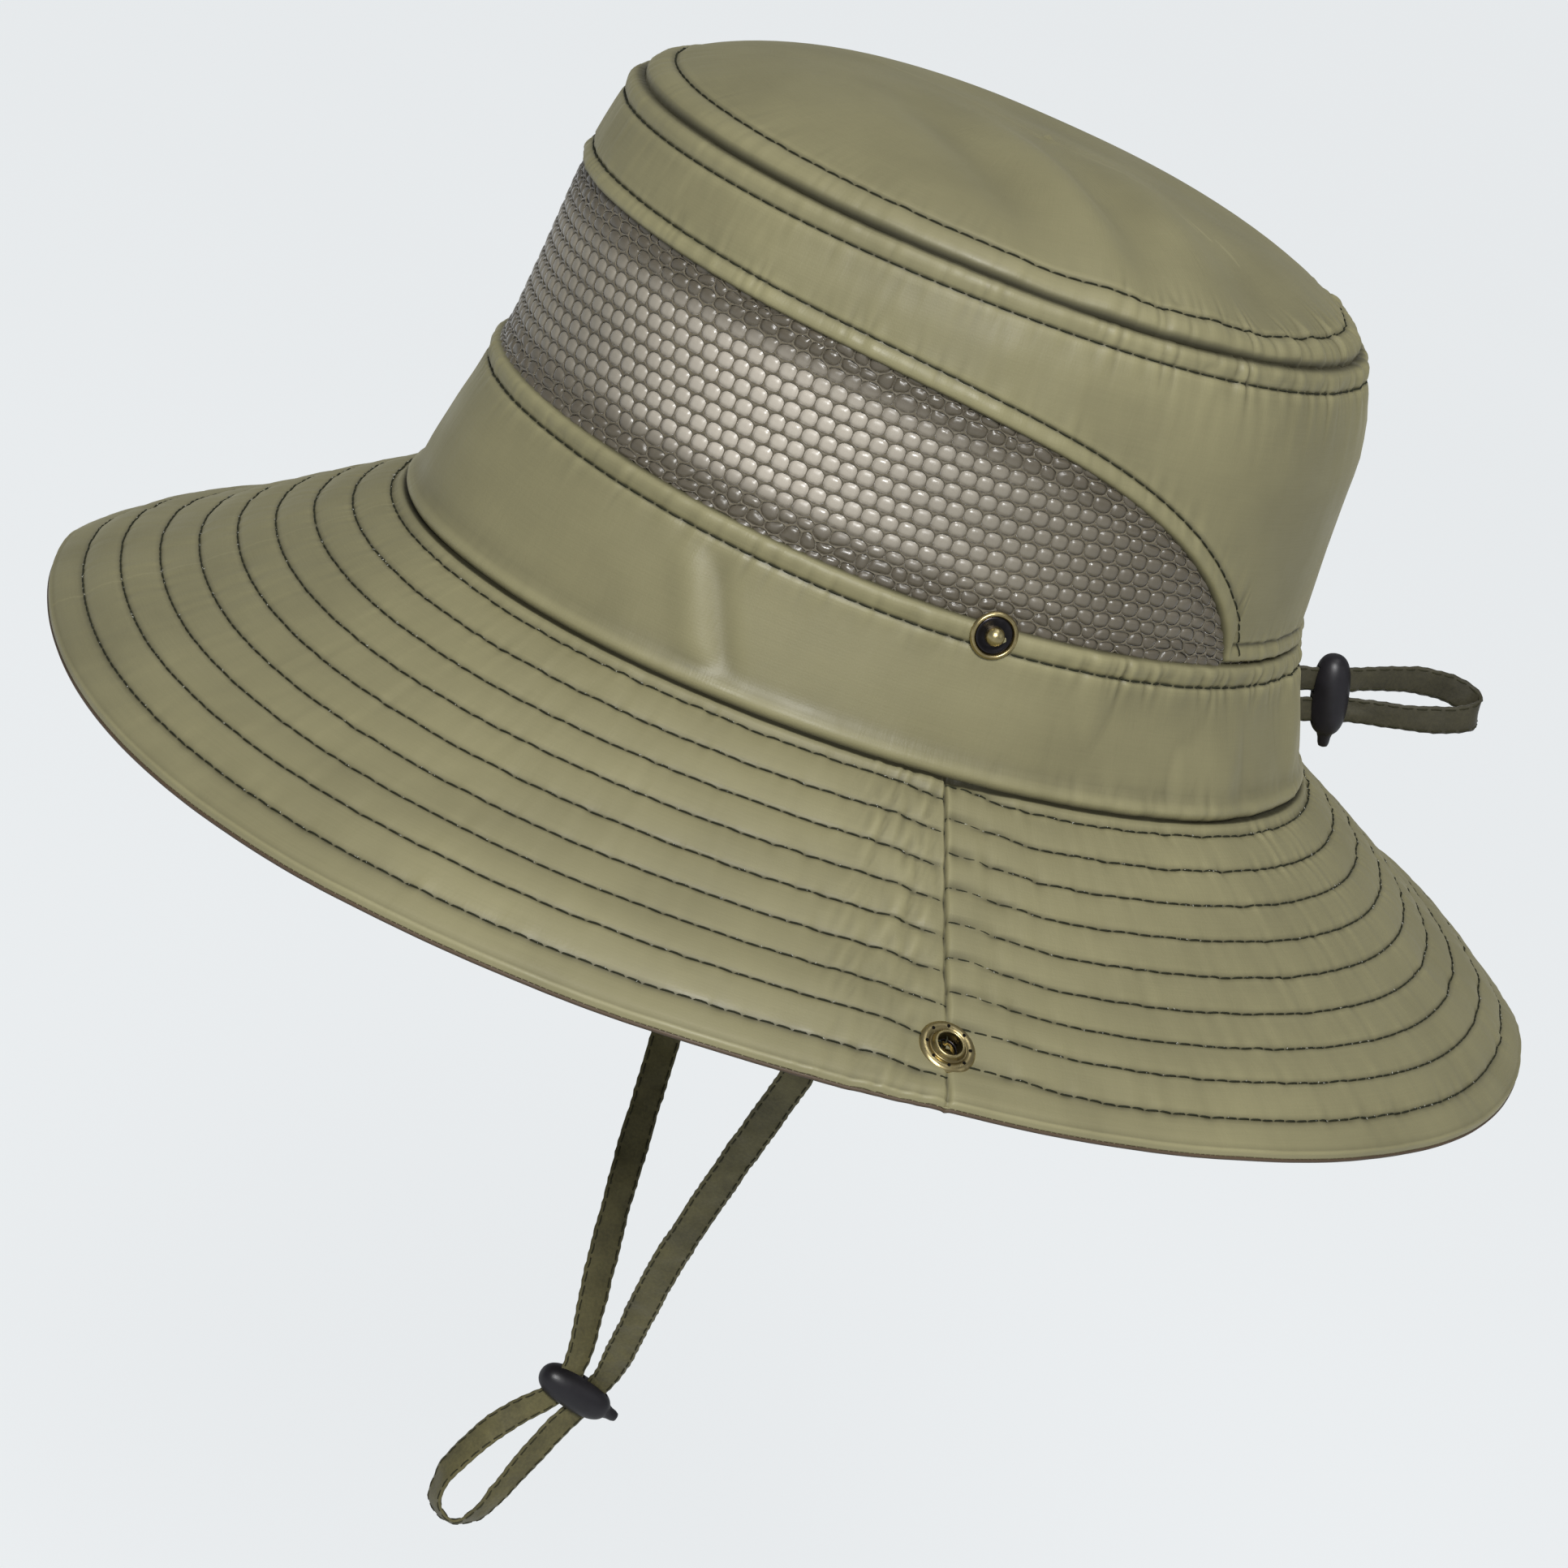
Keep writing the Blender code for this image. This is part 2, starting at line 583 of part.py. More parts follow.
def make_ribbons(finishes, lower_band):
    chin_strap("chin_strap_left", CHIN_STRAP_LEFT, finishes["ribbon"])
    chin_strap("chin_strap_right", CHIN_STRAP_RIGHT, finishes["ribbon"])
    chin_loop(finishes["ribbon"])
    back_loop(finishes["ribbon"])
    make_bead("chin_bead", CHIN_BEAD, CHIN_BEAD_TILT, finishes["rubber"])
    make_bead("back_bead", BACK_BEAD, BACK_BEAD_TILT, finishes["rubber"])
    upper, lower = BACK_LOOP[0][2] * MM, BACK_LOOP[-1][2] * MM
    channel_run("left", 1, upper, finishes["ribbon"])
    channel_run("right", -1, lower, finishes["ribbon"])
    for side, side_sign in (("left", 1), ("right", -1)):
        make_strap_tab(side, side_sign, finishes["ribbon"])
    for number, (_, back, height) in enumerate((BACK_LOOP[0], BACK_LOOP[-1])):
        frame = Matrix.Translation((0, back * MM, height * MM))
        cut(lower_band, box_cutter(f"exit_slot_{number}", frame, (2 * MM, 14 * MM, 6 * MM)))


def main():
    clear_scene()
    finishes = make_materials()
    lower_band = make_crown(finishes)
    barrel_holes = make_snaps(finishes, lower_band)
    make_brim(finishes, barrel_holes)
    make_ribbons(finishes, lower_band)


main()
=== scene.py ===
"""The looks of a boonie hat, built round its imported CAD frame.

Every cloth piece is a fine grid on the hat's own surfaces, raised by a relief of seams, quilting, gathers
and puckers. Stitches, net threads, snaps, beads and ribbons are real geometry. Lengths are in millimetres,
and they become metres where a mesh is made. +Z is up, the front is at -Y, and the wearer's left is at +X.

Angles run round the hat from its left side (0) towards the back (90 degrees), in radians.
"""

import math

import bmesh
import bpy
import numpy as np
from mathutils import Matrix, Vector


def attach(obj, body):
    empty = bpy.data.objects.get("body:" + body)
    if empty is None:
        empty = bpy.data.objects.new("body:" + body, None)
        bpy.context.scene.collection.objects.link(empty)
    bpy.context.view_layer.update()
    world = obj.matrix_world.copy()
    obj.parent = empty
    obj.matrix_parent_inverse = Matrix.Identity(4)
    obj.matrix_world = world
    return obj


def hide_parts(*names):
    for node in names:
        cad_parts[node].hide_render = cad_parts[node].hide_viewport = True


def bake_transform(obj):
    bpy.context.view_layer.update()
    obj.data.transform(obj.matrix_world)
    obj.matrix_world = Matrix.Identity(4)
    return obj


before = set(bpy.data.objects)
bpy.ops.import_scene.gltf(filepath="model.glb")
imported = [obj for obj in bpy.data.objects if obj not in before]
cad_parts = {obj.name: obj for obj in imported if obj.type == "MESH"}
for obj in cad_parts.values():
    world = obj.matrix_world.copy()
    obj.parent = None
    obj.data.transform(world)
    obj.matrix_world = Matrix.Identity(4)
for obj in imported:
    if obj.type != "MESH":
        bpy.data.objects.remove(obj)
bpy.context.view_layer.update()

MM = 0.001
SIDES = (("left", 1), ("right", -1))
NOISE_ROWS = 53

# The crown's outside: heights, and the reach forwards, backwards and sideways at each.
CROWN_HEIGHTS = [0, 10, 20, 30, 42, 58, 74, 86, 96.5, 100]
CROWN_FRONT = [103, 101.8, 99.7, 96.8, 94.5, 93, 91.8, 90, 86.8, 84.5]
CROWN_BACK = [103, 99.5, 94.5, 89.8, 89.2, 88, 86.6, 83.5, 77.5, 74.5]
CROWN_SIDE = [85.5, 83.5, 81.8, 80.5, 80, 79.5, 78.8, 77.8, 75, 73]
PROFILE_SOFTNESS = 2.0
TOP_SEAM_HEIGHT, TOP_SEAM_TILT = 97.3, 1.9
TOP_DOME_RISE, TOP_DOME_LEAN = 16.9, 1.6
TOP_REACH, TOP_HALF_SIZES = 76, (74, 80)
FINE_STEP, PROFILE_REACH = 0.25, 14

# Soft dents and ridges of the crown's top: middle (x, y), half sizes, turn, and height.
TOP_DENTS = (
    (40, -20, 26, 7, 0.35, -2.8),
    (34, -7, 28, 7, 0.30, 2.4),
    (38, 5, 26, 7, 0.25, -2.4),
    (34, 18, 26, 8, 0.15, 1.9),
    (46, 40, 14, 8, -0.3, -2.2),
    (-20, 10, 14, 34, -0.5, -1.2),
    (-40, -20, 10, 28, 0.3, 0.9),
    (4, 46, 16, 12, 0.2, -1.0),
)

# Radii that turn an angle into a length: along the net's upper edge, in the weave, and at the side seams.
NET_RADIUS, WEAVE_RADIUS, SIDE_SEAM_RADIUS = 86, 90, 130

# The net's edges, with angles counted from the front in degrees.
NET_END, NET_ARCH_SPAN, NET_RISE = 128.5, 73.5, 40.7
NET_LOW_SIDE, NET_LOW_DIP = 32.5, 4.8
NET_PITCH, NET_ROW, NET_FIRST_ROW, NET_MIDDLE = 3.8, 3.5, 31.0, 55.0
NET_HOLE = (1.80, 1.64)
NET_INSET, LINING_INSET, PILLOW = 0.85, 1.55, 1.0
NET_CROWDING, NET_CROWDED_WIDTH = 2.6, 3.6
NET_SEAM_WIDTH, NET_OVERLAP = 7.5, 1.2
TOP_STITCH, SIDE_STITCH, BAND_STITCH, ARCH_STITCH = 5.0, 4.8, 5.0, 4.3
# The angle round the crown where the net's lining gets a painted highlight.
NET_HIGHLIGHT_ANGLE = -0.62

# The brim.
RIM_FRONT, RIM_BACK, RIM_SIDE, RIM_DROP = 167.9, 172.2, 153.7, 40.9
RIM_FRONT_DIP, RIM_BACK_RISE, RIM_FULLNESS = 4.1, 1.5, 0.046
RIGHT_QUARTERS_DROOP = 4.5
SEAM_ALLOWANCE = 0.3
QUILT_ROWS = 9
FIRST_ROW, ROW_STEP = 0.045, 0.1067
ROW_PITCH = 8.5
BRIM_DEPTH, QUILT_HEIGHT, RIM_CURL = 2.4, 0.85, 1.5
LINT_COUNT = 420

# Cloth and thread.
CLOTH = 0.5
STITCH_LENGTH, STITCH_GAP, THREAD, THREAD_SIDES = 3.1, 0.22, 0.17, 5
CROWN_LIFT, BRIM_LIFT, UNDER_LIFT = 0.25, 0.2, 0.12
# A stitch from end to end: share of its length, lift, and thickness.
STITCH_SECTIONS = (
    (0.0, -0.30, 0.45), (0.15, 0.02, 1.0), (0.5, 0.10, 1.05), (0.85, 0.02, 1.0), (1.0, -0.30, 0.45),
)
# Grid rows next to an edge: distances in millimetres, or shares of a quilting row.
FINE_EDGE = [0, 0.25, 0.6, 1.1, 1.7, 2.4, 3.1, 3.7, 4.2, 4.6, 5.0, 5.5, 6.2, 7.2, 8.4]
TOP_EDGE = [0, 0.25, 0.6, 1.1, 1.8, 2.6, 3.4, 4.2, 5.0, 5.8, 6.4, 6.8, 7.2, 7.6, 8.2, 9.2, 10.6]
BASE_EDGE = [0, 0.5, 1.0, 1.6, 2.3, 3.1, 4.0, 5.0]
SWEATBAND_EDGE = [0, 0.4, 1.0, 2.0]
UPPER_STEPS = [0, 0.06, 0.14, 0.28, 0.5, 0.72, 0.86, 0.94]
UNDER_STEPS = [0, 0.12, 0.5, 0.88]
SEAM_COLUMNS = [-0.006, -0.004, -0.0025, -0.0012, 0.0, 0.0012, 0.0025, 0.004, 0.006]
SWEATBAND_DEPTH, SWEATBAND_LOW, SWEATBAND_HIGH = 2.6, 1.0, 29.0
CHANNEL_DEPTH = 1.6
TAB_INSET, TAB_ANGLE, TAB_DEPTH, TAB_HEIGHT, TAB_HALF_LENGTH = 6.1, 6, 8.5, 7.5, 6.0

# Snaps.
STUD_HEIGHT, STUD_REACH, SOCKET_SHARE = 30.5, 5.0, 0.827
STUD_WASHER = ((3.9, 0.45), (3.9, 1.0), (4.2, 1.5), (4.7, 1.45), (5.1, 0.9), (4.9, 0.45))
STUD_CUP = ((1.2, 0.45), (1.2, 0.95), (2.6, 0.75), (3.85, 1.1), (3.85, 0.45))
STUD_BALL, STUD_BALL_HEIGHT, STUD_NECK = 2.05, 1.4, 1.15
STUD_BACKING = ((1.45, -1.5), (1.45, -0.95), (4.0, -0.95), (4.4, -1.2), (4.1, -1.5))
SOCKET_RING = (
    (2.55, -2.6), (2.55, 0.6), (2.5, 1.7), (2.6, 2.3), (3.1, 2.3), (3.35, 1.5), (3.7, 1.0), (4.4, 1.45),
    (5.3, 1.4), (6.0, 0.8), (5.8, 0.35), (3.3, 0.35), (3.3, -2.6),
)
SOCKET_SPRING = ((1.95, -0.6), (1.95, 0.2), (2.4, 0.2), (2.4, -0.6))
SOCKET_CAP = ((0, -3.1), (4.9, -3.1), (5.3, -3.4), (4.6, -4.0), (0, -4.2))
SOCKET_DIMPLES, DIMPLE_REACH, SOCKET_CLEARANCE = 8, 4.55, 3.4
STUD_PARTS = (
    ("washer", STUD_WASHER, "brass"),
    ("cup", STUD_CUP, "dark_metal"),
    ("backing", STUD_BACKING, "dark_metal"),
)
SOCKET_PARTS = (
    ("ring", SOCKET_RING, "brass"),
    ("spring", SOCKET_SPRING, "dark_metal"),
    ("cap", SOCKET_CAP, "brass"),
)

# Ribbons and beads.
RIBBON_WIDTH, STRAP_WIDTH, LOOP_WIDTH, RIBBON_THICKNESS = 5.6, 7.2, 6.4, 0.9
STRAP_TURN = 0.3
BEAD_LENGTH, BEAD_THICKNESS, BEAD_HOLE_OFFSET, BEAD_SLOT = 19.0, 8.6, 3.6, (6.4, 2.0)
BEAD_BLUNTNESS = 2.7
BEAD_NIB = ((1.7, 0), (1.45, 0.8), (1.3, 2.0), (1.05, 2.7), (0.5, 2.95), (0, 3.0))
CHIN_BEAD, CHIN_BEAD_TILT = (0, 1.9, -194.5), math.radians(-20)
BACK_BEAD, BACK_BEAD_TILT = (0, 108.4, 14.8), math.radians(-75)
CHIN_STRAP_LEFT = (
    (77.5, 8.5, 1.1), (77.4, 8.6, -7), (75.8, 8.6, -20), (69.6, 8.2, -40), (60.0, 7.2, -64),
    (47.5, 6.0, -91), (34.0, 5.0, -119), (20.0, 4.7, -149), (8.8, 6.4, -172.6), (2.4, 7.4, -186.2),
    (0.2, 6.6, -192.0), (0, 5.2, -195.8),
)
CHIN_STRAP_RIGHT = (
    (-77.5, 8.5, 1.1), (-77.4, 8.6, -7), (-75.8, 8.6, -20), (-69.6, 8.2, -40), (-60.0, 7.0, -64),
    (-47.5, 5.2, -91), (-34.0, 3.0, -119), (-20.0, 1.0, -148), (-8.8, 0.3, -170.8), (-2.4, 0.4, -183.6),
    (-0.2, -0.2, -189.6), (0, -1.6, -193.4),
)
CHIN_LOOP = (
    (0, 5.1, -196.4), (0, 3.4, -199.8), (0.3, 0.4, -205.6), (0.6, -2.9, -213.4), (0.9, -6.0, -221.6),
    (0.9, -9.2, -229.0), (0.4, -13.0, -233.2), (-0.3, -16.8, -233.6), (-0.8, -19.9, -230.6),
    (-1.0, -20.4, -225.4), (-1.0, -18.6, -219.0), (-0.8, -14.4, -210.6), (-0.4, -9.0, -203.2),
    (0, -3.6, -197.4), (0, -1.9, -193.8),
)
BACK_LOOP = (
    (0, 95.0, 16.2), (0, 99.2, 16.4), (0, 103.6, 17.2), (0, 107.5, 18.3), (0, 111.4, 19.3),
    (-0.9, 116.0, 20.4), (-2.0, 122.0, 21.8), (-2.9, 128.6, 22.8), (-3.3, 135.0, 23.0),
    (-2.6, 140.6, 22.2), (0, 143.0, 21.0), (2.6, 141.0, 19.4), (3.3, 136.0, 17.6), (2.9, 130.0, 16.0),
    (2.0, 123.5, 14.6), (0.9, 117.8, 13.5), (0, 113.2, 12.4), (0, 109.3, 11.3), (0, 105.4, 10.3),
    (0, 102.0, 9.6), (0, 98.6, 9.2),
)

# The camera: its angles round the hat in degrees, its distance and target in metres, and the framing's shift.
CAMERA_AZIMUTH, CAMERA_ELEVATION, CAMERA_ROLL = 71.738, 17.593, 21.052
CAMERA_DISTANCE, CAMERA_TARGET, CAMERA_LENS = 1.0475, (0, 0, -0.03), 110
CAMERA_SHIFT = (-0.0183, -0.0215)
BACKDROP = (0.806, 0.831, 0.847)
FLOOR_HEIGHT, FLOOR_RADIUS, FLOOR_GLOW = -0.62, 14.0, (0.50, 0.915)
BACKDROP_STRENGTH = (0.28, 1.05)
# The lights: turn from the camera and elevation in degrees, distance and size in metres, and power in watts.
LIGHTS = {"key": (2, 34, 1.7, 0.45, 25), "top": (30, 80, 1.6, 0.8, 3.2), "rear": (75, 25, 1.8, 0.9, 1.0)}


# ---------------------------------------------------------------- numbers


def between(value, low, high):
    return np.clip((value - low) / (high - low), 0, 1)


def smooth(share):
    return share * share * (3 - 2 * share)


def ease(value, low, high):
    return smooth(between(value, low, high))


def hump(value, centre, width):
    return np.exp(-(((value - centre) / width) ** 2))


def bumps(angle, along, count, seed):
    """Smooth noise from -1 to 1, with count bumps round the hat and one for each unit of along."""
    table = np.random.default_rng(seed).uniform(-1, 1, (NOISE_ROWS, count))
    column, row = np.broadcast_arrays(angle / (2 * np.pi) * count, along)
    left, low = np.floor(column).astype(int), np.floor(row).astype(int)
    across, up = smooth(column - left), smooth(row - low)

    def in_row(rows):
        ends = [table[rows % NOISE_ROWS, end % count] for end in (left, left + 1)]
        return ends[0] * (1 - across) + ends[1] * across

    return in_row(low) * (1 - up) + in_row(low + 1) * up


def creased(noise):
    """Soft puffs with a sharp crease between them, from smooth noise."""
    return 1.5 * np.abs(noise) - 0.4


# ---------------------------------------------------------------- the hat's surfaces


FINE_HEIGHTS = np.arange(-6.0, 106.0, FINE_STEP)


def smoothed(column):
    """A reach column with its corners rounded, at the fine heights."""
    offsets = np.arange(-PROFILE_REACH, PROFILE_REACH + 1) * FINE_STEP
    kernel = hump(offsets, 0, PROFILE_SOFTNESS)
    values = np.interp(FINE_HEIGHTS, CROWN_HEIGHTS, column)
    return np.convolve(np.pad(values, PROFILE_REACH, mode="edge"), kernel / kernel.sum(), "valid")


FRONT_REACH, BACK_REACH, SIDE_REACH = (smoothed(c) for c in (CROWN_FRONT, CROWN_BACK, CROWN_SIDE))


def wall(angle, height, inset=0.0):
    """A place on the crown's wall."""
    angle, height = np.broadcast_arrays(np.asarray(angle, float), np.asarray(height, float))
    reach_back = np.interp(height, FINE_HEIGHTS, BACK_REACH)
    reach_front = np.interp(height, FINE_HEIGHTS, FRONT_REACH)
    along = np.where(np.sin(angle) > 0, reach_back, reach_front) - inset
    side = np.interp(height, FINE_HEIGHTS, SIDE_REACH) - inset
    return np.stack([side * np.cos(angle), along * np.sin(angle), height], -1)


def top_seam(angle):
    return TOP_SEAM_HEIGHT - TOP_SEAM_TILT * np.sin(angle)


def dome(angle, share):
    """A place on the crown's top: share 1 is its seam, and 0 its middle."""
    angle, share = np.broadcast_arrays(np.asarray(angle, float), np.asarray(share, float))
    rim = wall(angle, top_seam(angle))
    backwards = np.sin(angle) * share
    peak = TOP_DOME_RISE - TOP_DOME_LEAN * backwards
    rise = peak * np.clip(1 - np.abs(share) ** 3.25, 0, 1) ** 0.79
    height = TOP_SEAM_HEIGHT - TOP_SEAM_TILT * backwards + rise
    return np.stack([rim[..., 0] * share, rim[..., 1] * share, height], -1)


def from_front(angle):
    """How far an angle is from the front, in degrees from 0 to 180."""
    return np.degrees(np.arccos(np.clip(-np.sin(angle), -1, 1)))


def net_low(angle):
    return NET_LOW_SIDE + NET_LOW_DIP * np.maximum(-np.sin(angle), 0) ** 1.6


def net_high(angle):
    share = np.clip((NET_END - from_front(angle)) / NET_ARCH_SPAN, 0, 1)
    return net_low(angle) + NET_RISE * (1 - (1 - share) ** 2.6) ** (1 / 1.4)


def brim(angle, share):
    """A place on the brim's upper face: share 0 is the crown's seam, and 1 the rim."""
    angle, share = np.broadcast_arrays(np.asarray(angle, float), np.asarray(share, float))
    inner = wall(angle, np.zeros_like(angle), -SEAM_ALLOWANCE)
    behind = np.sin(angle) > 0
    quarters = np.sin(2 * angle) ** 2
    full = 1 + RIM_FULLNESS * quarters * np.maximum(-np.sin(angle), 0)
    along = np.where(behind, RIM_BACK, RIM_FRONT) * np.sin(angle) * full
    height = np.where(behind, RIM_BACK_RISE, RIM_FRONT_DIP) * np.sin(angle) - RIM_DROP
    height = height - RIGHT_QUARTERS_DROOP * quarters * (np.cos(angle) < 0)
    outer = np.stack([RIM_SIDE * np.cos(angle) * full, along, height], -1)
    return inner + (outer - inner) * share[..., None]


def unit(vectors, spare=(0, 0, 1)):
    size = np.linalg.norm(vectors, axis=-1, keepdims=True)
    return np.where(size > 1e-9, vectors / np.maximum(size, 1e-9), np.array(spare, float))


def outward(place, angle, along, step):
    """The outward direction of a surface at each place on it."""
    turn = place(angle + 0.002, along) - place(angle - 0.002, along)
    rise = place(angle, along + step) - place(angle, along - step)
    return unit(np.cross(turn, rise))


def raised(surface, angle, along, extra=0.0):
    """Places on a surface, raised by its relief and by extra. A surface is (place, relief, step, sign)."""
    place, relief, step, sign = surface
    normal = outward(place, angle, along, step) * sign
    return place(angle, along) + normal * (relief(angle, along) + extra)[..., None]


# ---------------------------------------------------------------- reliefs


def seam_roll(distance, stitch):
    """The roll of cloth between a seam and its topstitching, and the groove of each."""
    roll = 0.75 * hump(distance, 0.42 * stitch, 0.36 * stitch)
    return roll - 0.6 * hump(distance, stitch, 0.5) - 1.3 * hump(distance, 0, 0.5)


def edge_cosine(angle):
    """How much the net's upper edge slopes: the cosine of its angle with the level."""
    rise = (net_high(angle + 0.01) - net_high(angle - 0.01)) / 0.02
    return 1 / np.sqrt(1 + (rise / NET_RADIUS) ** 2)


def above_net(angle, height):
    """Distance above the net's upper edge, square to it."""
    return (height - net_high(angle)) * edge_cosine(angle)


def inside_net(angle, height):
    """Distances inside the net from its lower and upper edges."""
    return height - net_low(angle), -above_net(angle, height)


def side_relief(angle, height):
    back = ease(np.sin(angle), -0.6, 0.7)
    below_top = top_seam(angle) - height
    from_net = above_net(angle, height)
    relief = seam_roll(below_top, SIDE_STITCH) + seam_roll(from_net, ARCH_STITCH)
    pucker = bumps(angle, height / 11, 190, 3) + 0.6 * bumps(angle, height / 15, 90, 4)
    relief += creased(pucker) * (0.18 + 0.56 * back) * hump(below_top, 3.2, 5.0)
    fan = bumps(angle + height / 900, height / 16, 230, 7)
    relief += creased(0.6 * pucker + fan) * 0.26 * hump(from_net, 3.4, 4.2)
    relief += fan * 0.16 * hump(below_top, 9, 9)
    relief += 0.75 * bumps(angle + height / 300, height / 26, 17, 5)
    relief += 0.13 * bumps(angle - height / 200, height / 14, 60, 6)
    return relief


def top_relief(angle, share):
    back = ease(np.sin(angle), -0.3, 0.8)
    inward = (1 - share) * TOP_REACH
    relief = 0.7 * hump(inward, 2.6, 2.0) - 0.6 * hump(inward, TOP_STITCH, 0.5) - 1.3 * hump(inward, 0, 0.5)
    pucker = bumps(angle, inward / 12, 190, 11) + 0.7 * bumps(angle, inward / 16, 80, 12)
    relief += creased(pucker) * (0.16 + 0.62 * back) * hump(inward, 4, 5)
    x, y = TOP_HALF_SIZES[0] * share * np.cos(angle), TOP_HALF_SIZES[1] * share * np.sin(angle)
    for across, along, size_x, size_y, turn, depth in TOP_DENTS:
        u = (x - across) * math.cos(turn) + (y - along) * math.sin(turn)
        v = (y - along) * math.cos(turn) - (x - across) * math.sin(turn)
        relief += depth * hump(u, 0, size_x) * hump(v, 0, size_y)
    return relief


def band_relief(angle, height):
    """The lower band: gathered by the drawstring at the back, nearly smooth in front."""
    gathered = ease(from_front(angle), 86, 118)
    below_net = net_low(angle) - height
    relief = seam_roll(below_net, BAND_STITCH) + 1.3 * hump(height, 2.2, 1.9) - 1.3 * hump(height, -0.6, 1.1)
    pucker = bumps(angle, height / 9, 170, 21) + 0.6 * bumps(angle, height / 12, 85, 22)
    fan = bumps(angle - height / 800, height / 14, 250, 26)
    relief += creased(pucker + 0.8 * fan) * (0.26 + 0.30 * gathered) * hump(below_net, 4.2, 4.6)
    relief += creased(pucker) * (0.06 + 0.26 * gathered) * hump(height, 3, 4)
    belly = np.sin(np.pi * between(height, -2, net_low(angle) + 1)) ** 0.8
    folds = bumps(angle + 0.0006 * height, height / 34, 44, 23) + 0.5 * bumps(angle, height / 22, 88, 24)
    relief += np.maximum(folds * 2.4, -0.5) * belly * gathered
    relief += 0.4 * bumps(angle, height / 20, 22, 25) * (1 - gathered)
    crease = math.radians(-33.5) + np.radians(0.32) * (21 - height)
    soft = ease(height, 3, 9) * ease(-height, -29, -22)
    relief += soft * (0.9 * hump(angle, crease - 0.05, 0.045) - 0.9 * hump(angle, crease + 0.02, 0.03))
    return relief


def row_place(share):
    """Where a share of the brim's width lies among the quilting rows: 0 is the first row."""
    return (share - FIRST_ROW) / ROW_STEP


def side_seam_distance(angle):
    """Distance in millimetres from the nearest side seam: positive behind it."""
    turned = (angle + np.pi / 2) % (2 * np.pi) - np.pi / 2
    folded = np.where(turned > np.pi / 2, np.pi - turned, turned)
    return folded * SIDE_SEAM_RADIUS


def row_jog(angle):
    """How far the rows step sideways, in rows, next to the side seams."""
    distance = side_seam_distance(angle)
    return np.where(distance > 0, 0.26 * ease(-distance, -26, 0), -0.20 * ease(distance, -14, 0))


def brim_swell(angle, share):
    """The waves of the whole brim, which its two cloths share."""
    ripple = bumps(angle, share * 2, 46, 34) * (0.25 + 0.55 * ease(np.sin(angle), 0.1, 0.8))
    return ripple * ease(share, 0.35, 1.0) + 0.9 * bumps(angle, share * 1.6, 13, 35) * ease(share, 0.1, 0.8)


def brim_relief(angle, share):
    distance = side_seam_distance(angle)
    row = row_place(share) + row_jog(angle)
    stitched = between(row, -0.5, 0) * between(-row, -(QUILT_ROWS - 0.5), -(QUILT_ROWS - 1))
    valley = np.abs(row - np.round(row))
    quilt = np.abs(np.sin(np.pi * row)) ** 0.6
    quilt = np.where(row > QUILT_ROWS - 1, ease(row, QUILT_ROWS - 1, QUILT_ROWS - 0.65), quilt)
    quilt = QUILT_HEIGHT * np.where(row < 0, ease(-row, 0, 0.35), quilt)
    near_stitch = hump(valley, 0, 0.24) * stitched
    pucker = bumps(angle, row * 0.9, 330, 31) + 0.7 * bumps(angle, row * 0.8, 150, 32)
    behind = ease(distance, 20, 90)
    relief = quilt + pucker * (0.16 + 0.14 * behind + 0.10 * hump(distance, 0, 26)) * (0.3 + near_stitch)
    slanted = bumps(angle + row * 0.016, row * 0.5, 300, 33) + 0.6 * bumps(angle + row * 0.016, row, 520, 38)
    relief += creased(slanted) * 0.55 * hump(distance, -9, 12) * (distance < 0) * (1 - 0.7 * near_stitch)
    relief -= 1.0 * hump(distance, 0, 0.45)
    relief += brim_swell(angle, share) - 0.9 * ease(-share, -0.014, 0) + RIM_CURL * hump(share, 0.80, 0.13)
    near_socket = hump(distance, 0, 9) * hump(share, SOCKET_SHARE, 0.10)
    relief = relief * (1 - 0.9 * near_socket) + 0.15 * near_socket
    hem = 0.35 * hump(share, 0.965, 0.008) - 0.3 * hump(share, 0.983, 0.003)
    relief += hem - 1.2 * ease(share, 0.988, 1.0) ** 2
    return relief


def under_relief(angle, share):
    """The under cloth's relief, downwards from the brim's upper face."""
    row = row_place(share) + row_jog(angle)
    quilt = 0.5 * (np.abs(np.sin(np.pi * row)) ** 0.75)
    pucker = bumps(angle, row * 0.9, 330, 36) * 0.08
    rim = ease(share, 0.975, 1.0) ** 2
    return BRIM_DEPTH - CLOTH - brim_swell(angle, share) + (quilt + pucker) * (1 - rim) - rim


def hem_relief(angle, share):
    """The hem's dark core lies between the two cloths, and shows at the rim as a line: its dark colour is
    painted shade of the gap there.
    """
    return (brim_relief(angle, share) - under_relief(angle, share)) / 2 - 0.05


def sweatband_relief(angle, height):
    """The sweatband's outer face: rolled edges, and a slight waviness between them."""
    edges = hump(height, SWEATBAND_LOW, 1.6) + hump(height, SWEATBAND_HIGH, 1.6)
    return 0.18 * bumps(angle, height / 12, 60, 51) * (1 - edges) + 0.12 * edges - SWEATBAND_DEPTH


WALL_STEP, SHARE_STEP = 0.4, 0.004
SIDE_SURFACE = (wall, side_relief, WALL_STEP, 1)
BAND_SURFACE = (wall, band_relief, WALL_STEP, 1)
TOP_SURFACE = (dome, top_relief, SHARE_STEP, -1)
BRIM_SURFACE = (brim, brim_relief, SHARE_STEP, -1)
UNDER_SURFACE = (brim, under_relief, SHARE_STEP, 1)
SWEATBAND_SURFACE = (wall, sweatband_relief, WALL_STEP, 1)
HEM_SURFACE = (brim, hem_relief, SHARE_STEP, -1)


# ---------------------------------------------------------------- meshes


def in_scene(name, data):
    """A new object in the scene."""
    made = bpy.data.objects.new(name, data)
    bpy.context.scene.collection.objects.link(made)
    return made


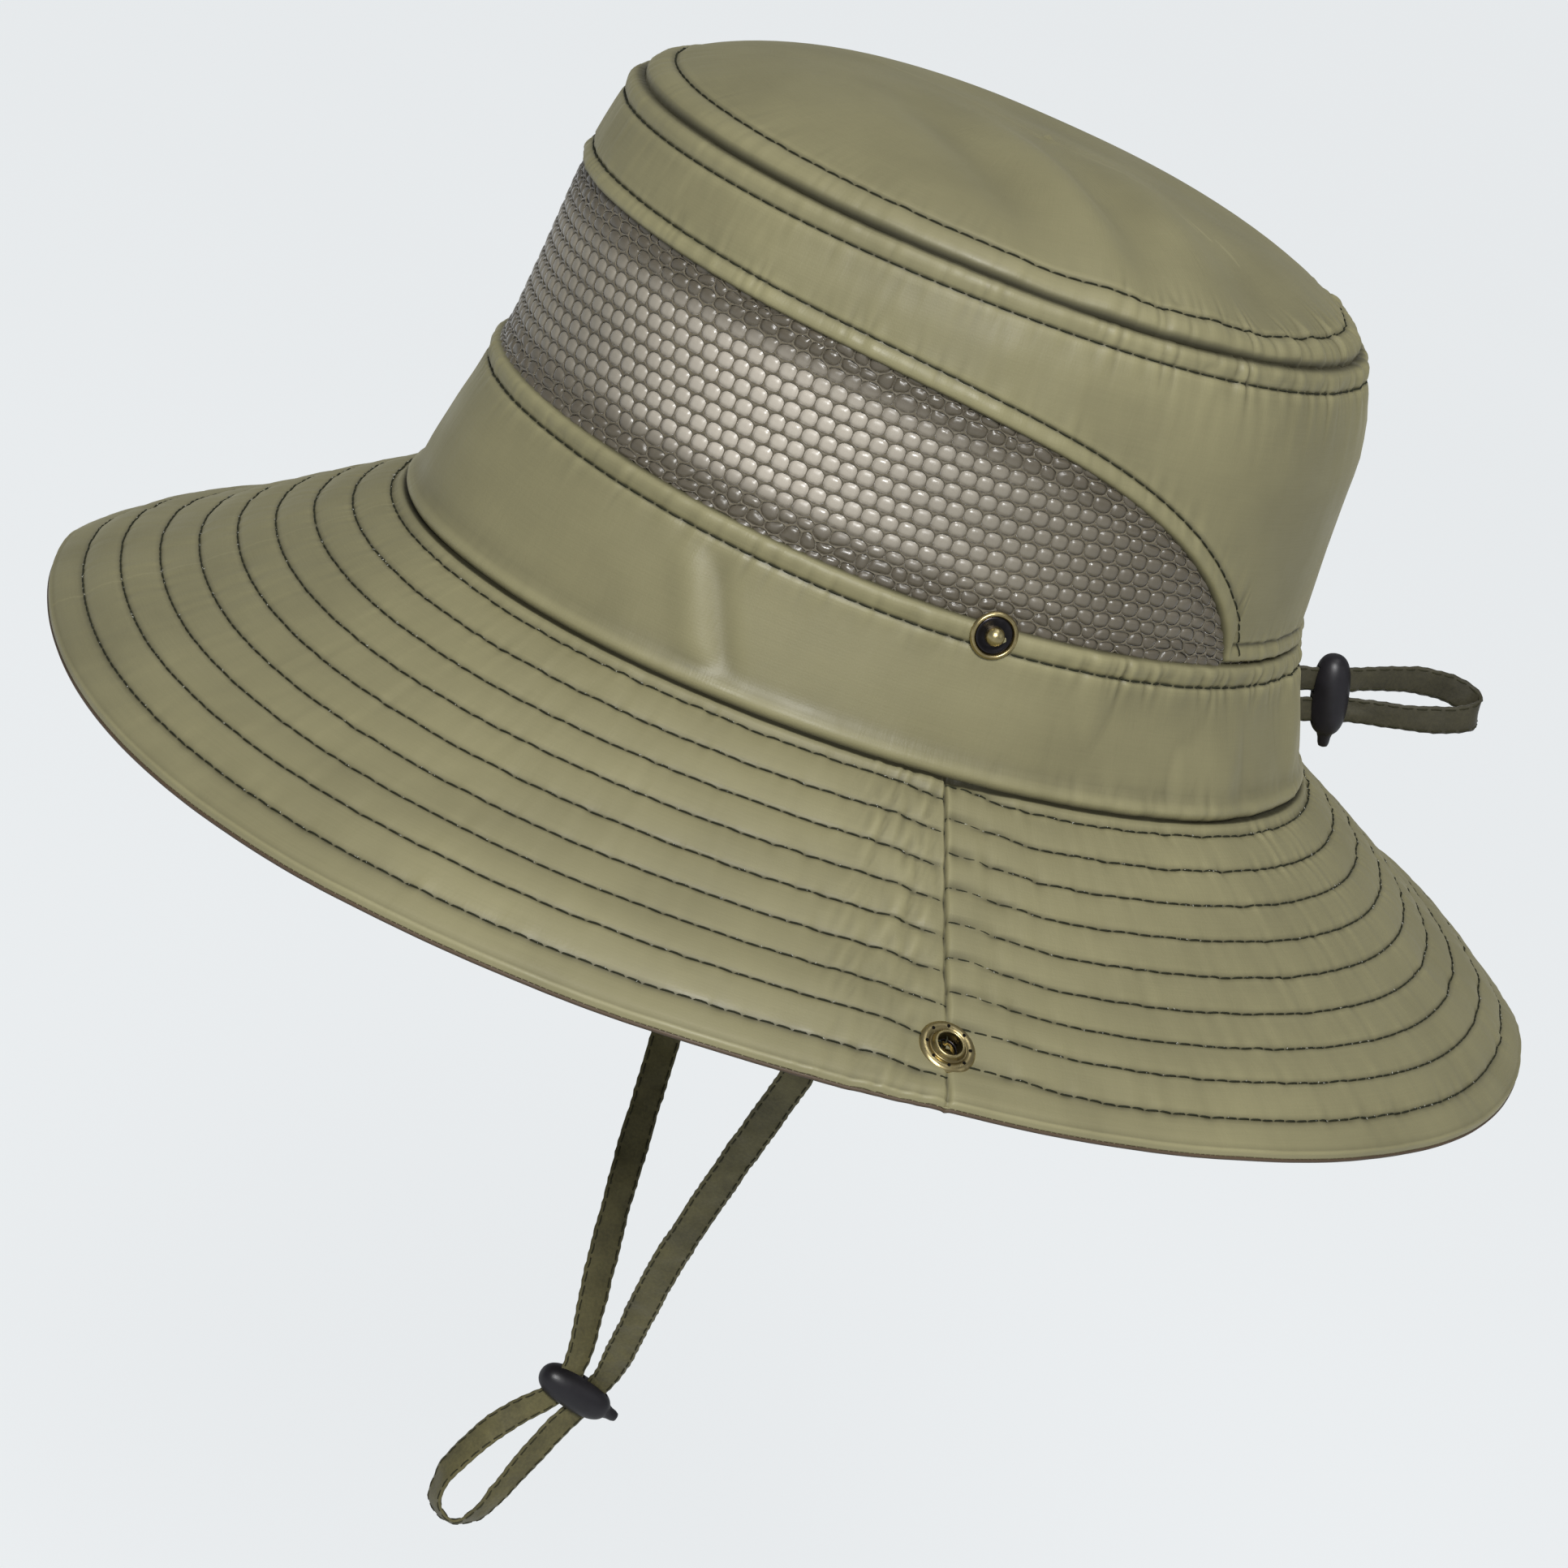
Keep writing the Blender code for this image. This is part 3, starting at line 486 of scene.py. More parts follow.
def shaped(name, shape):
    """A new object from a bmesh, which it frees."""
    mesh = bpy.data.meshes.new(name)
    shape.to_mesh(mesh)
    shape.free()
    return in_scene(name, mesh)


def add_mesh(name, points, faces, finish, uv=None):
    """A mesh object from points in millimetres and faces. uv holds a place in metres for each point."""
    mesh = bpy.data.meshes.new(name)
    mesh.from_pydata((np.asarray(points) * MM).tolist(), [], faces)
    made = in_scene(name, mesh)
    if uv is not None:
        layer = mesh.uv_layers.new(name="cloth")
        corners = np.zeros(len(mesh.loops), int)
        mesh.loops.foreach_get("vertex_index", corners)
        layer.uv.foreach_set("vector", (np.asarray(uv) * MM)[corners].astype(np.float32).ravel())
    mesh.materials.append(finish)
    mesh.shade_smooth()
    return made


def paint(made, name, values):
    """A vertex attribute for both faces of a cloth piece."""
    attribute = made.data.attributes.new(name, "FLOAT", "POINT")
    attribute.data.foreach_set("value", np.tile(values.ravel(), 2).astype(np.float32))


def grid_faces(rows, columns, closed):
    """Quads of a grid, facing the way the surface's columns turn."""
    wide = columns if closed else columns - 1
    row, column = np.meshgrid(np.arange(rows - 1), np.arange(wide), indexing="ij")
    here, there = row * columns + column, row * columns + (column + 1) % columns
    return np.stack([here, there, there + columns, here + columns], -1).reshape(-1, 4)


def walls(faces, count):
    """Quads that close the borders between a grid and its copy, which starts count points later."""
    starts, ends = faces.ravel(), np.roll(faces, -1, axis=1).ravel()
    border = ~np.isin(starts * count + ends, ends * count + starts)
    a, b = starts[border], ends[border]
    return np.stack([b, a, a + count, b + count], -1)


def cloth(name, surface, columns, rows, finish, thickness=CLOTH, closed=False, keep=None, uv_rows=None):
    """A cloth piece on a surface. rows holds the second coordinate of each grid point."""
    angle = np.broadcast_to(columns, rows.shape)
    outer = raised(surface, angle, rows)
    inner = raised(surface, angle, rows, -thickness)
    count = rows.size
    faces = grid_faces(*rows.shape, closed)
    if surface[3] < 0:
        faces = faces[:, ::-1]
    if keep is not None:
        middles = outer.reshape(-1, 3)[faces].mean(axis=1)
        faces = faces[keep(middles)]
    everything = np.concatenate([faces, faces[:, ::-1] + count, walls(faces, count)])
    along = rows if uv_rows is None else uv_rows
    uv = np.stack([angle * WEAVE_RADIUS, along], -1).reshape(-1, 2)
    points = np.concatenate([outer.reshape(-1, 3), inner.reshape(-1, 3)])
    return add_mesh(name, points, everything.tolist(), finish, np.concatenate([uv, uv]))


def tidy(made):
    """Merges coincident points, and drops loose ones."""
    shape = bmesh.new()
    shape.from_mesh(made.data)
    bmesh.ops.remove_doubles(shape, verts=shape.verts, dist=0.01 * MM)
    bmesh.ops.delete(shape, geom=[v for v in shape.verts if not v.link_faces], context="VERTS")
    bmesh.ops.recalc_face_normals(shape, faces=shape.faces)
    shape.to_mesh(made.data)
    shape.free()
    return made


def rows_between(low, high, near_low, middle, near_high):
    """Rows from low to high: at set distances from each edge, with evenly shared ones in between."""
    first, last = low + near_low[-1], high - near_high[-1]
    shares = np.linspace(0, 1, middle + 2)[1:-1]
    rows = [low + d for d in near_low]
    rows += [first + (last - first) * share for share in shares]
    rows += [high - d for d in reversed(near_high)]
    return np.array(rows)


def thread(name, runs, finish):
    """Stitches along runs. A run is (places, normals), closely spaced."""
    points, faces = [], []
    ring = np.arange(THREAD_SIDES) / THREAD_SIDES * 2 * np.pi
    shares, lifts, sizes = np.array(STITCH_SECTIONS).T
    for places, normals in runs:
        far = np.concatenate([[0], np.cumsum(np.linalg.norm(np.diff(places, axis=0), axis=1))])
        starts = np.arange(0, far[-1] - STITCH_LENGTH, STITCH_LENGTH + STITCH_GAP)
        at = starts[:, None] + shares * STITCH_LENGTH
        middle, up = (
            np.stack([np.interp(at, far, values[:, axis]) for axis in range(3)], -1)
            for values in (places, normals)
        )
        up = unit(up)
        way = unit(np.gradient(middle, axis=1))
        side = unit(np.cross(way, up))
        middle = middle + up * lifts[None, :, None]
        circle = np.cos(ring)[:, None] * side[:, :, None, :] + np.sin(ring)[:, None] * up[:, :, None, :]
        tube = middle[:, :, None, :] + circle * (sizes[None, :, None, None] * THREAD)
        base = sum(len(p) for p in points)
        points.append(tube.reshape(-1, 3))
        for stitch in range(len(starts)):
            first = base + stitch * len(shares) * THREAD_SIDES
            faces += (first + grid_faces(len(shares), THREAD_SIDES, True)).tolist()
            last = first + (len(shares) - 1) * THREAD_SIDES
            faces.append(tuple(range(first, first + THREAD_SIDES))[::-1])
            faces.append(tuple(range(last, last + THREAD_SIDES)))
    return add_mesh(name, np.concatenate(points), faces, finish)


def run_on(surface, angle, along, lift=0.0):
    """A run of stitches on a surface."""
    angle, along = np.broadcast_arrays(np.asarray(angle, float), np.asarray(along, float))
    normal = outward(surface[0], angle, along, surface[2]) * surface[3]
    return raised(surface, angle, along, lift), normal


# ---------------------------------------------------------------- materials


class Nodes:
    """A material's nodes, made one at a time and linked by name."""

    def __init__(self, name):
        self.material = bpy.data.materials.new(name)
        self.material.use_nodes = True
        self.tree = self.material.node_tree
        self.shader = self.tree.nodes["Principled BSDF"]
        self.place = self.add("TexCoord").outputs["Object"]

    def add(self, kind, inputs=(), **settings):
        """Makes a node. inputs maps an input to a value or to another node's output."""
        made = self.tree.nodes.new("ShaderNode" + kind)
        for key, value in settings.items():
            setattr(made, key, value)
        for key, value in dict(inputs).items():
            self.set(made, key, value)
        return made

    def set(self, node, key, value):
        if isinstance(value, bpy.types.NodeSocket):
            self.tree.links.new(value, node.inputs[key])
        elif isinstance(value, tuple) and len(value) == 3 and node.inputs[key].type == "RGBA":
            node.inputs[key].default_value = (*value, 1)
        else:
            node.inputs[key].default_value = value

    def noise(self, place, scale, detail=3.0, roughness=0.5):
        values = {"Vector": place, "Scale": scale, "Detail": detail, "Roughness": roughness}
        return self.add("TexNoise", values).outputs["Fac"]

    def bends(self):
        return self.add("NewGeometry").outputs["Pointiness"]

    def painted(self, name):
        return self.add("Attribute", attribute_name=name).outputs["Fac"]

    def scaled(self, place, scale):
        return self.add("Mapping", {"Vector": place, "Scale": scale}).outputs["Vector"]

    def ramp(self, value, *stops):
        """A colour or grey ramp through (place, colour) stops."""
        made = self.add("ValToRGB", {"Fac": value})
        while len(made.color_ramp.elements) < len(stops):
            made.color_ramp.elements.new(0.5)
        for element, (place, colour) in zip(made.color_ramp.elements, stops):
            element.position = place
            element.color = (*colour, 1) if isinstance(colour, tuple) else (colour, colour, colour, 1)
        return made.outputs["Color"]

    def mix(self, share, first, second, blend="MIX"):
        made = self.add("Mix", data_type="RGBA", blend_type=blend)
        for key, value in (("Factor_Float", share), ("A_Color", first), ("B_Color", second)):
            socket = next(s for s in made.inputs if s.identifier == key)
            if isinstance(value, bpy.types.NodeSocket):
                self.tree.links.new(value, socket)
            else:
                socket.default_value = (*value, 1) if isinstance(value, tuple) else value
        return next(s for s in made.outputs if s.identifier == "Result_Color")

    def math(self, operation, first, second=0.0):
        return self.add("Math", {0: first, 1: second}, operation=operation).outputs[0]

    def bump(self, *heights):
        """Chained bumps from (height, strength, distance in millimetres)."""
        normal = None
        for height, strength, distance in heights:
            values = {"Height": height, "Strength": strength, "Distance": distance * MM}
            if normal is not None:
                values["Normal"] = normal
            normal = self.add("Bump", values).outputs["Normal"]
        self.set(self.shader, "Normal", normal)

    def finish(self, **values):
        for key, value in values.items():
            self.set(self.shader, key.replace("_", " "), value)
        return self.material


def tinted(colour, factor, rise=0.0):
    return tuple(c * factor + rise for c in colour)


def nylon(name, colour, crinkle=0.35, sheen=0.25, roughness=0.5):
    """Thin satin-faced nylon: a fine plain weave, soft crinkles and faint cloudy wear, with painted shade in
    its creases and along its seams, and a painted highlight on its ridges.
    """
    n = Nodes(name)
    uv = n.add("UVMap", uv_map="cloth").outputs["UV"]
    cloudy = n.noise(n.place, 26.0, 3.0, 0.55)
    fine = n.noise(n.scaled(uv, (2600.0, 2600.0, 1.0)), 1.0, 2.0, 0.6)
    creases = n.noise(n.scaled(uv, (420.0, 75.0, 1.0)), 1.0, 4.0, 0.6)
    slub = n.noise(n.scaled(uv, (90.0, 2400.0, 1.0)), 1.0, 2.0, 0.5)
    dark, light = tinted(colour, 0.86), tinted(colour, 1.13)
    shade = n.ramp(cloudy, (0.32, dark), (0.5, colour), (0.7, light))
    shade = n.mix(0.16, shade, n.ramp(slub, (0.3, dark), (0.7, light)))
    weave = n.math("MULTIPLY", *(
        n.add("TexWave", {"Vector": uv, "Scale": 460.0}, bands_direction=way).outputs["Fac"] for way in "XY"
    ))
    gloss = n.ramp(n.noise(n.place, 60.0, 4.0), (0.35, roughness - 0.07), (0.7, roughness + 0.10))
    n.bump((creases, crinkle, 0.35), (fine, 0.25, 0.10), (weave, 0.12, 0.06))
    # Painted shade and highlight: darker where the cloth bends inwards, in creases and grooves, and lighter
    # on its ridges.
    wear_and_painted_light = n.ramp(n.bends(), (0.43, 0.30), (0.488, 0.86), (0.506, 1.0), (0.55, 1.22))
    # Painted shade from the seam attribute: much darker along seams, stitch grooves and joins.
    wear_and_painted_light = n.mix(n.painted("seam"), wear_and_painted_light, (0.10, 0.10, 0.09))
    shade = n.mix(1.0, shade, wear_and_painted_light, "MULTIPLY")
    return n.finish(
        Base_Color=shade, Roughness=gloss, Specular_IOR_Level=0.42,
        Sheen_Weight=sheen, Sheen_Roughness=0.45, Sheen_Tint=tinted(colour, 1.6, 0.06),
    )


def thread_finish(name, colour):
    n = Nodes(name)
    twist = n.noise(n.scaled(n.place, (1500.0, 1500.0, 1500.0)), 1.0, 2.0)
    n.bump((twist, 0.5, 0.1))
    shade = n.ramp(twist, (0.3, tinted(colour, 0.7)), (0.7, colour))
    return n.finish(Base_Color=shade, Roughness=0.8, Specular_IOR_Level=0.25)


def net_finish(name, colour):
    n = Nodes(name)
    fibre = n.noise(n.place, 2200.0, 3.0)
    cloudy = n.noise(n.place, 40.0, 2.0)
    dark, light = tinted(colour, 0.72), tinted(colour, 1.3)
    shade = n.mix(0.5, n.ramp(cloudy, (0.3, dark), (0.7, light)), n.ramp(fibre, (0.3, dark), (0.75, light)))
    n.bump((fibre, 0.6, 0.15))
    return n.finish(Base_Color=shade, Roughness=0.55, Sheen_Weight=0.35, Sheen_Roughness=0.4)


def lining_finish(name, colour, seam_allowance_and_shade_colour, painted_highlight_colour):
    """Pale tricot behind the net. Vertex attributes darken it near the seams, where the seam allowance shows
    through, and with painted shade towards the back, and lighten it with a painted highlight in its middle.
    """
    n = Nodes(name)
    knit = n.noise(n.place, 1500.0, 2.0)
    cloudy = n.noise(n.place, 55.0, 3.0)
    shade = n.ramp(cloudy, (0.35, colour), (0.65, tinted(colour, 1.25)))
    # The bright attribute paints a highlight; the seam attribute darkens it for the seam allowance near the
    # edges and for painted shade towards the back.
    shade = n.mix(n.painted("seam"), n.mix(n.painted("bright"), shade, painted_highlight_colour), seam_allowance_and_shade_colour)
    gloss = n.ramp(n.noise(n.place, 240.0, 2.0), (0.35, 0.28), (0.7, 0.5))
    n.bump((knit, 0.35, 0.12))
    return n.finish(
        Base_Color=shade, Roughness=gloss, Specular_IOR_Level=0.7, Sheen_Weight=0.3, Sheen_Roughness=0.3
    )


def ribbon_finish(name, colour):
    n = Nodes(name)
    grain = n.noise(n.place, 1400.0, 3.0)
    cloudy = n.noise(n.place, 110.0, 3.0)
    dark, light = tinted(colour, 0.7), tinted(colour, 1.45)
    shade = n.mix(0.45, n.ramp(cloudy, (0.35, dark), (0.65, light)), n.ramp(grain, (0.3, dark), (0.7, light)))
    n.bump((cloudy, 0.5, 0.5), (grain, 0.5, 0.12))
    return n.finish(Base_Color=shade, Roughness=0.68, Sheen_Weight=0.15, Sheen_Roughness=0.5)


def brass_finish(name, colour, wear_and_painted_light):
    """Antique brass: dark where it is hollow, bright on its worn edges."""
    n = Nodes(name)
    wear = n.ramp(n.bends(), (0.44, 0.0), (0.56, 1.0))
    patina = n.noise(n.place, 700.0, 4.0, 0.6)
    shade = n.mix(wear, tinted(colour, 0.45), wear_and_painted_light)
    shade = n.mix(n.ramp(patina, (0.40, 0.0), (0.75, 0.55)), shade, tinted(colour, 0.35))
    gloss = n.ramp(patina, (0.3, 0.20), (0.75, 0.46))
    n.bump((patina, 0.15, 0.08))
    return n.finish(Base_Color=shade, Roughness=gloss, Metallic=1.0)


def rubber_finish(name, colour):
    n = Nodes(name)
    grain = n.noise(n.place, 1100.0, 3.0)
    dust = n.noise(n.place, 130.0, 4.0)
    shade = n.ramp(dust, (0.4, colour), (0.75, tinted(colour, 1.7)))
    gloss = n.ramp(dust, (0.3, 0.36), (0.75, 0.52))
    n.bump((grain, 0.2, 0.08))
    return n.finish(Base_Color=shade, Roughness=gloss, Specular_IOR_Level=0.5)


def floor_finish():
    """A pale floor that glows a little, so that it meets the backdrop without a line."""
    n = Nodes("pale_floor")
    shade = n.ramp(n.noise(n.place, 1.2, 2.0), (0.3, (0.20, 0.205, 0.21)), (0.7, (0.22, 0.225, 0.23)))
    glow = n.ramp(n.add("LightPath").outputs["Is Camera Ray"], (0.0, FLOOR_GLOW[0]), (1.0, FLOOR_GLOW[1]))
    return n.finish(
        Base_Color=shade, Roughness=0.9, Specular_IOR_Level=0.1,
        Emission_Color=BACKDROP, Emission_Strength=glow,
    )


OLIVE = (0.227, 0.208, 0.112)
FINISH = {
    "shell": nylon("olive_nylon", OLIVE),
    "upper": nylon("olive_nylon_quilted", OLIVE, 0.45, 0.22, 0.52),
    "under": nylon("olive_nylon_under", tinted(OLIVE, 0.92), 0.4, 0.2, 0.55),
    # The hem core's dark brown is painted shade of the gap between the brim's two cloths at the rim.
    "hem": nylon("painted_rim_shade", (0.075, 0.050, 0.030), 0.3, 0.1, 0.6),
    "inner": nylon("olive_sweatband", tinted(OLIVE, 0.80), 0.6, 0.4, 0.75),
    "thread": thread_finish("dark_olive_thread", (0.026, 0.028, 0.014)),
    "ribbon_thread": thread_finish("ribbon_thread", (0.040, 0.038, 0.018)),
    "speck": thread_finish("pale_lint", (0.52, 0.52, 0.44)),
    "net": net_finish("taupe_net", (0.118, 0.100, 0.066)),
    # The pale tricot: its own colour, a darker colour for the seam allowance that also serves as painted
    # shade towards the back, and the colour of its painted highlight.
    "lining": lining_finish(
        "pale_tricot", (0.190, 0.170, 0.132), (0.100, 0.085, 0.060), (0.480, 0.435, 0.365)
    ),
    "ribbon": ribbon_finish("dark_olive_ribbon", (0.096, 0.084, 0.031)),
    # The drawstring's ribbon is a darker copy of the ribbon colour: painted shade.
    "drawstring": ribbon_finish("drawstring_ribbon_painted_shade", (0.036, 0.032, 0.015)),
    "brass": brass_finish("antique_brass", (0.30, 0.22, 0.09), (0.62, 0.52, 0.27)),
    "polished": brass_finish("polished_brass", (0.52, 0.42, 0.18), (0.72, 0.62, 0.34)),
    # Near black: painted shade inside the socket's holes.
    "hollow": brass_finish("painted_hole_shade", (0.010, 0.009, 0.008), (0.02, 0.018, 0.016)),
    "dark_metal": brass_finish("blackened_metal", (0.030, 0.028, 0.030), (0.06, 0.055, 0.06)),
    "rubber": rubber_finish("black_rubber", (0.009, 0.008, 0.011)),
}


# ---------------------------------------------------------------- crown


def place_piece(made, nodes, body="hat"):
    """Rides a piece on a body, and hides the CAD nodes that it stands for."""
    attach(made, body)
    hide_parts(*nodes)
    return made


def make_crown():
    around = np.linspace(-np.pi, np.pi, 900, endpoint=False)
    lining_gap = 0.15

    inward = np.array(TOP_EDGE + list(np.linspace(12.5, TOP_REACH, 30)))[:, None]
    shares = np.broadcast_to(1 - inward / TOP_REACH, (len(inward), len(around)))
    top = cloth(
        "crown_top_cloth", TOP_SURFACE, around, shares, FINISH["shell"],
        closed=True, uv_rows=TOP_REACH * shares,
    )
    # Painted shade along the top seam and the groove of its topstitching, carried by the seam attribute.
    dark = hump(inward, 0, 0.8) + 0.4 * hump(inward, TOP_STITCH, 0.3)
    paint(top, "seam", np.broadcast_to(dark, shares.shape))
    place_piece(tidy(top), ["crown_top"])

    rows = rows_between(net_high(around) + lining_gap, top_seam(around) + 0.1, FINE_EDGE, 10, FINE_EDGE)
    side = cloth("crown_side_cloth", SIDE_SURFACE, around, rows, FINISH["shell"], closed=True)
    from_net = above_net(around, rows)
    # Painted shade along the top seam, the net's upper edge and the grooves of their topstitching, carried by
    # the seam attribute.
    dark = hump(rows, top_seam(around), 0.9) + 0.4 * hump(top_seam(around) - rows, SIDE_STITCH, 0.3)
    paint(side, "seam", dark + hump(from_net, 0, 0.5) + 0.4 * hump(from_net, ARCH_STITCH, 0.3))
    place_piece(side, ["crown_side_panel"])

    rows = rows_between(np.full_like(around, -0.9), net_low(around) - lining_gap, BASE_EDGE, 12, FINE_EDGE)
    band = cloth("crown_band_cloth", BAND_SURFACE, around, rows, FINISH["shell"], closed=True)
    # Painted shade along the net's lower edge and its topstitching's groove, and at the band's foot where it
    # meets the brim.
    dark = hump(rows, net_low(around), 0.5) + 0.4 * hump(net_low(around) - rows, BAND_STITCH, 0.3)
    paint(band, "seam", dark + ease(-rows, -0.9, 0.3))
    place_piece(band, ["crown_lower_band"])

    low, high = (np.full_like(around, height) for height in (SWEATBAND_LOW, SWEATBAND_HIGH))
    rows = rows_between(low, high, SWEATBAND_EDGE, 8, SWEATBAND_EDGE)
    sweat = cloth("sweatband_cloth", SWEATBAND_SURFACE, around, rows, FINISH["inner"], 1.1, closed=True)
    place_piece(sweat, ["sweatband"])

    closely = np.linspace(-np.pi, np.pi, 1800)
    runs = [
        run_on(TOP_SURFACE, closely, 1 - TOP_STITCH / TOP_REACH, CROWN_LIFT),
        run_on(SIDE_SURFACE, closely, top_seam(closely) - SIDE_STITCH, CROWN_LIFT),
        run_on(BAND_SURFACE, closely, net_low(closely) - BAND_STITCH, CROWN_LIFT),
        run_on(SIDE_SURFACE, *above_net_run(ARCH_STITCH), CROWN_LIFT),
    ]
    place_piece(thread("crown_topstitching", runs, FINISH["thread"]), [])


def net_angles(count):
    """Angles along the net, from its end at one side round the front to its other end."""
    end = math.radians(NET_END - 90)
    return np.linspace(-np.pi - end, end, count)


def above_net_run(distance):
    """The topstitching that follows the net's upper edge, square to it."""
    angle = net_angles(1600)
    x, y = angle * NET_RADIUS, net_high(angle)
    level, rise = np.gradient(x), np.gradient(y)
    step = np.hypot(level, rise)
    return (x - rise / step * distance) / NET_RADIUS, y + level / step * distance


# ---------------------------------------------------------------- net


def arc_table():
    """Distance round the crown at the net's height, from the front, at closely spaced angles."""
    angle = np.linspace(-np.pi / 2, math.radians(60), 600)
    places = wall(angle, NET_MIDDLE)
    steps = np.linalg.norm(np.diff(places, axis=0), axis=1)
    return angle, np.concatenate([[0], np.cumsum(steps)])


ARC_ANGLES, ARC_LENGTHS = arc_table()


def arc_angle(arc):
    """The angle at a signed distance round the crown from the front."""
    angle = np.interp(np.abs(arc), ARC_LENGTHS, ARC_ANGLES)
    return np.where(arc >= 0, angle, -np.pi - angle)


def crowded(depth):
    """How many millimetres of pattern the net's crowding adds next to a seam."""
    return NET_CROWDING * (1 - np.exp(-np.maximum(depth, 0) / NET_CROWDED_WIDTH))


def pattern_height(angle, height):
    """The height in the net's own pattern: its rows lie closer together towards both seams."""
    above_low, below_high = inside_net(angle, height)
    return height + crowded(above_low) - crowded(below_high)


def real_height(angle, pattern):
    """The height on the crown at a height in the net's pattern."""
    height = pattern.copy()
    for _ in range(14):
        height = height + 0.6 * (pattern - pattern_height(angle, height))
    return height


def pulled(arc, height):
    """How far the net's threads are pulled sideways and up, mostly near its seams."""
    angle = arc_angle(arc)
    edge = np.minimum(*inside_net(angle, height))
    size = 0.10 + 0.75 * ease(-edge, -9.5, -1.5)
    return size * bumps(angle, height / 3.1, 150, 41), 0.8 * size * bumps(angle, height / 2.9, 140, 42)


def squareness(place):
    """1 on a net hole's edge, less inside it and more outside. A place is (across, up) from its middle."""
    return (np.abs(place / NET_HOLE) ** 2.9).sum(axis=-1, keepdims=True) ** (1 / 2.9)


def net_cells():
    """Middles of the net's cells in its own pattern, as (distance from the front, height)."""
    reach = ARC_LENGTHS[-1]
    cells = []
    for row in range(-2, 17):
        height = NET_FIRST_ROW + row * NET_ROW
        arcs = np.arange(-reach, reach, NET_PITCH) + (row % 2) * NET_PITCH / 2
        angle = arc_angle(arcs)
        place = real_height(angle, np.full_like(angle, height))
        cells += [(arc, height) for arc in arcs[np.minimum(*inside_net(angle, place)) > -NET_OVERLAP]]
    return np.array(cells)


def make_net_threads(name, cells, finish):
    """Rounded-square holes in bricklayer's order, with rounded threads between them, on the crown's wall."""
    corners = [(0, 2 / 3), (0.5, 1 / 3), (0.5, -1 / 3), (0, -2 / 3), (-0.5, -1 / 3), (-0.5, 1 / 3)]
    outline = []
    for start, end in zip(corners, corners[1:] + corners[:1]):
        for share in (0, 1 / 3, 2 / 3):
            outline.append((start[0] + (end[0] - start[0]) * share, start[1] + (end[1] - start[1]) * share))
    outline = np.array(outline) * (NET_PITCH, NET_ROW)
    hole = outline / np.maximum(squareness(outline), 1.03)
    half = (outline + hole) / 2
    loops = ((outline, 0.10), (half, 0.08), (hole, -0.12), (half, -0.26), (outline, -0.28))
    size = len(outline)
    flat = np.stack([cells[:, None, :] + loop_points[None] for loop_points, _ in loops], 1)
    lift = np.array([height for _, height in loops])[None, :, None]
    height = real_height(arc_angle(flat[..., 0]), flat[..., 1])
    aside, up = pulled(flat[..., 0], height)
    angle, height = arc_angle(flat[..., 0] + aside), height + up
    normal = outward(wall, angle, height, WALL_STEP)
    points = wall(angle, height) + normal * (lift - NET_INSET)[..., None]
    first = np.arange(len(cells))[:, None, None] * len(loops) * size
    ring = np.arange(len(loops) - 1)[:, None] * size
    corner = np.arange(size)
    here, there = first + ring + corner, first + ring + (corner + 1) % size
    faces = np.stack([here, there, there + size, here + size], -1).reshape(-1, 4)
    return tidy(add_mesh(name, points.reshape(-1, 3), faces.tolist(), finish))


def lining_relief(angle, height):
    """The lining swells a little into each of the net's holes."""
    folded = np.interp(from_front(angle), np.degrees(ARC_ANGLES) + 90, ARC_LENGTHS)
    arc = np.where(np.cos(angle) >= 0, folded, -folded)
    aside, up = pulled(arc, height)
    arc, row = arc - aside, (pattern_height(angle, height - up) - NET_FIRST_ROW) / NET_ROW
    swell = 0
    for shift in (0, 1):
        near = np.round((row - shift) / 2) * 2 + shift
        across = (arc + ARC_LENGTHS[-1]) / NET_PITCH - (near % 2) / 2
        across = across - np.round(across)
        reach = squareness(np.stack([across * NET_PITCH, (row - near) * NET_ROW], -1))[..., 0]
        swell = np.maximum(swell, PILLOW * np.clip(1 - (reach / 1.10) ** 4, 0, 1))
    return swell - LINING_INSET


LINING_SURFACE = (wall, lining_relief, WALL_STEP, 1)


def make_net():
    net = make_net_threads("crown_net", net_cells(), FINISH["net"])
    place_piece(net, ["mesh_panel"])

    angle = net_angles(1100)
    low, high = net_low(angle) - 1.5, net_high(angle) + 1.5
    rows = low + (high - low) * np.linspace(0, 1, 90)[:, None]
    lining = cloth("net_lining_cloth", LINING_SURFACE, angle, rows, FINISH["lining"], 0.3)
    edge = np.minimum(*inside_net(angle, rows))
    # Painted shade: the left half of the lining darkens towards the back of the net.
    shadow = 0.8 * ease(from_front(angle), 78, 108) * (np.cos(angle) > 0)
    # Near the net's edges the lining takes the seam allowance's darker colour, and towards the back the
    # painted shade.
    paint(lining, "seam", np.maximum(ease(-edge, -NET_SEAM_WIDTH - 3.5, -NET_SEAM_WIDTH + 4.5), shadow))
    # A painted highlight on the lining, centred on one angle at the front left.
    paint(lining, "bright", hump(angle, NET_HIGHLIGHT_ANGLE, 0.42) * np.ones_like(edge))
    place_piece(lining, ["mesh_lining"])


# ---------------------------------------------------------------- brim


def socket_place(sign):
    place = brim(np.array(0.0 if sign > 0 else np.pi), np.array(SOCKET_SHARE))
    return np.array([place[0], 0.0, place[2]])


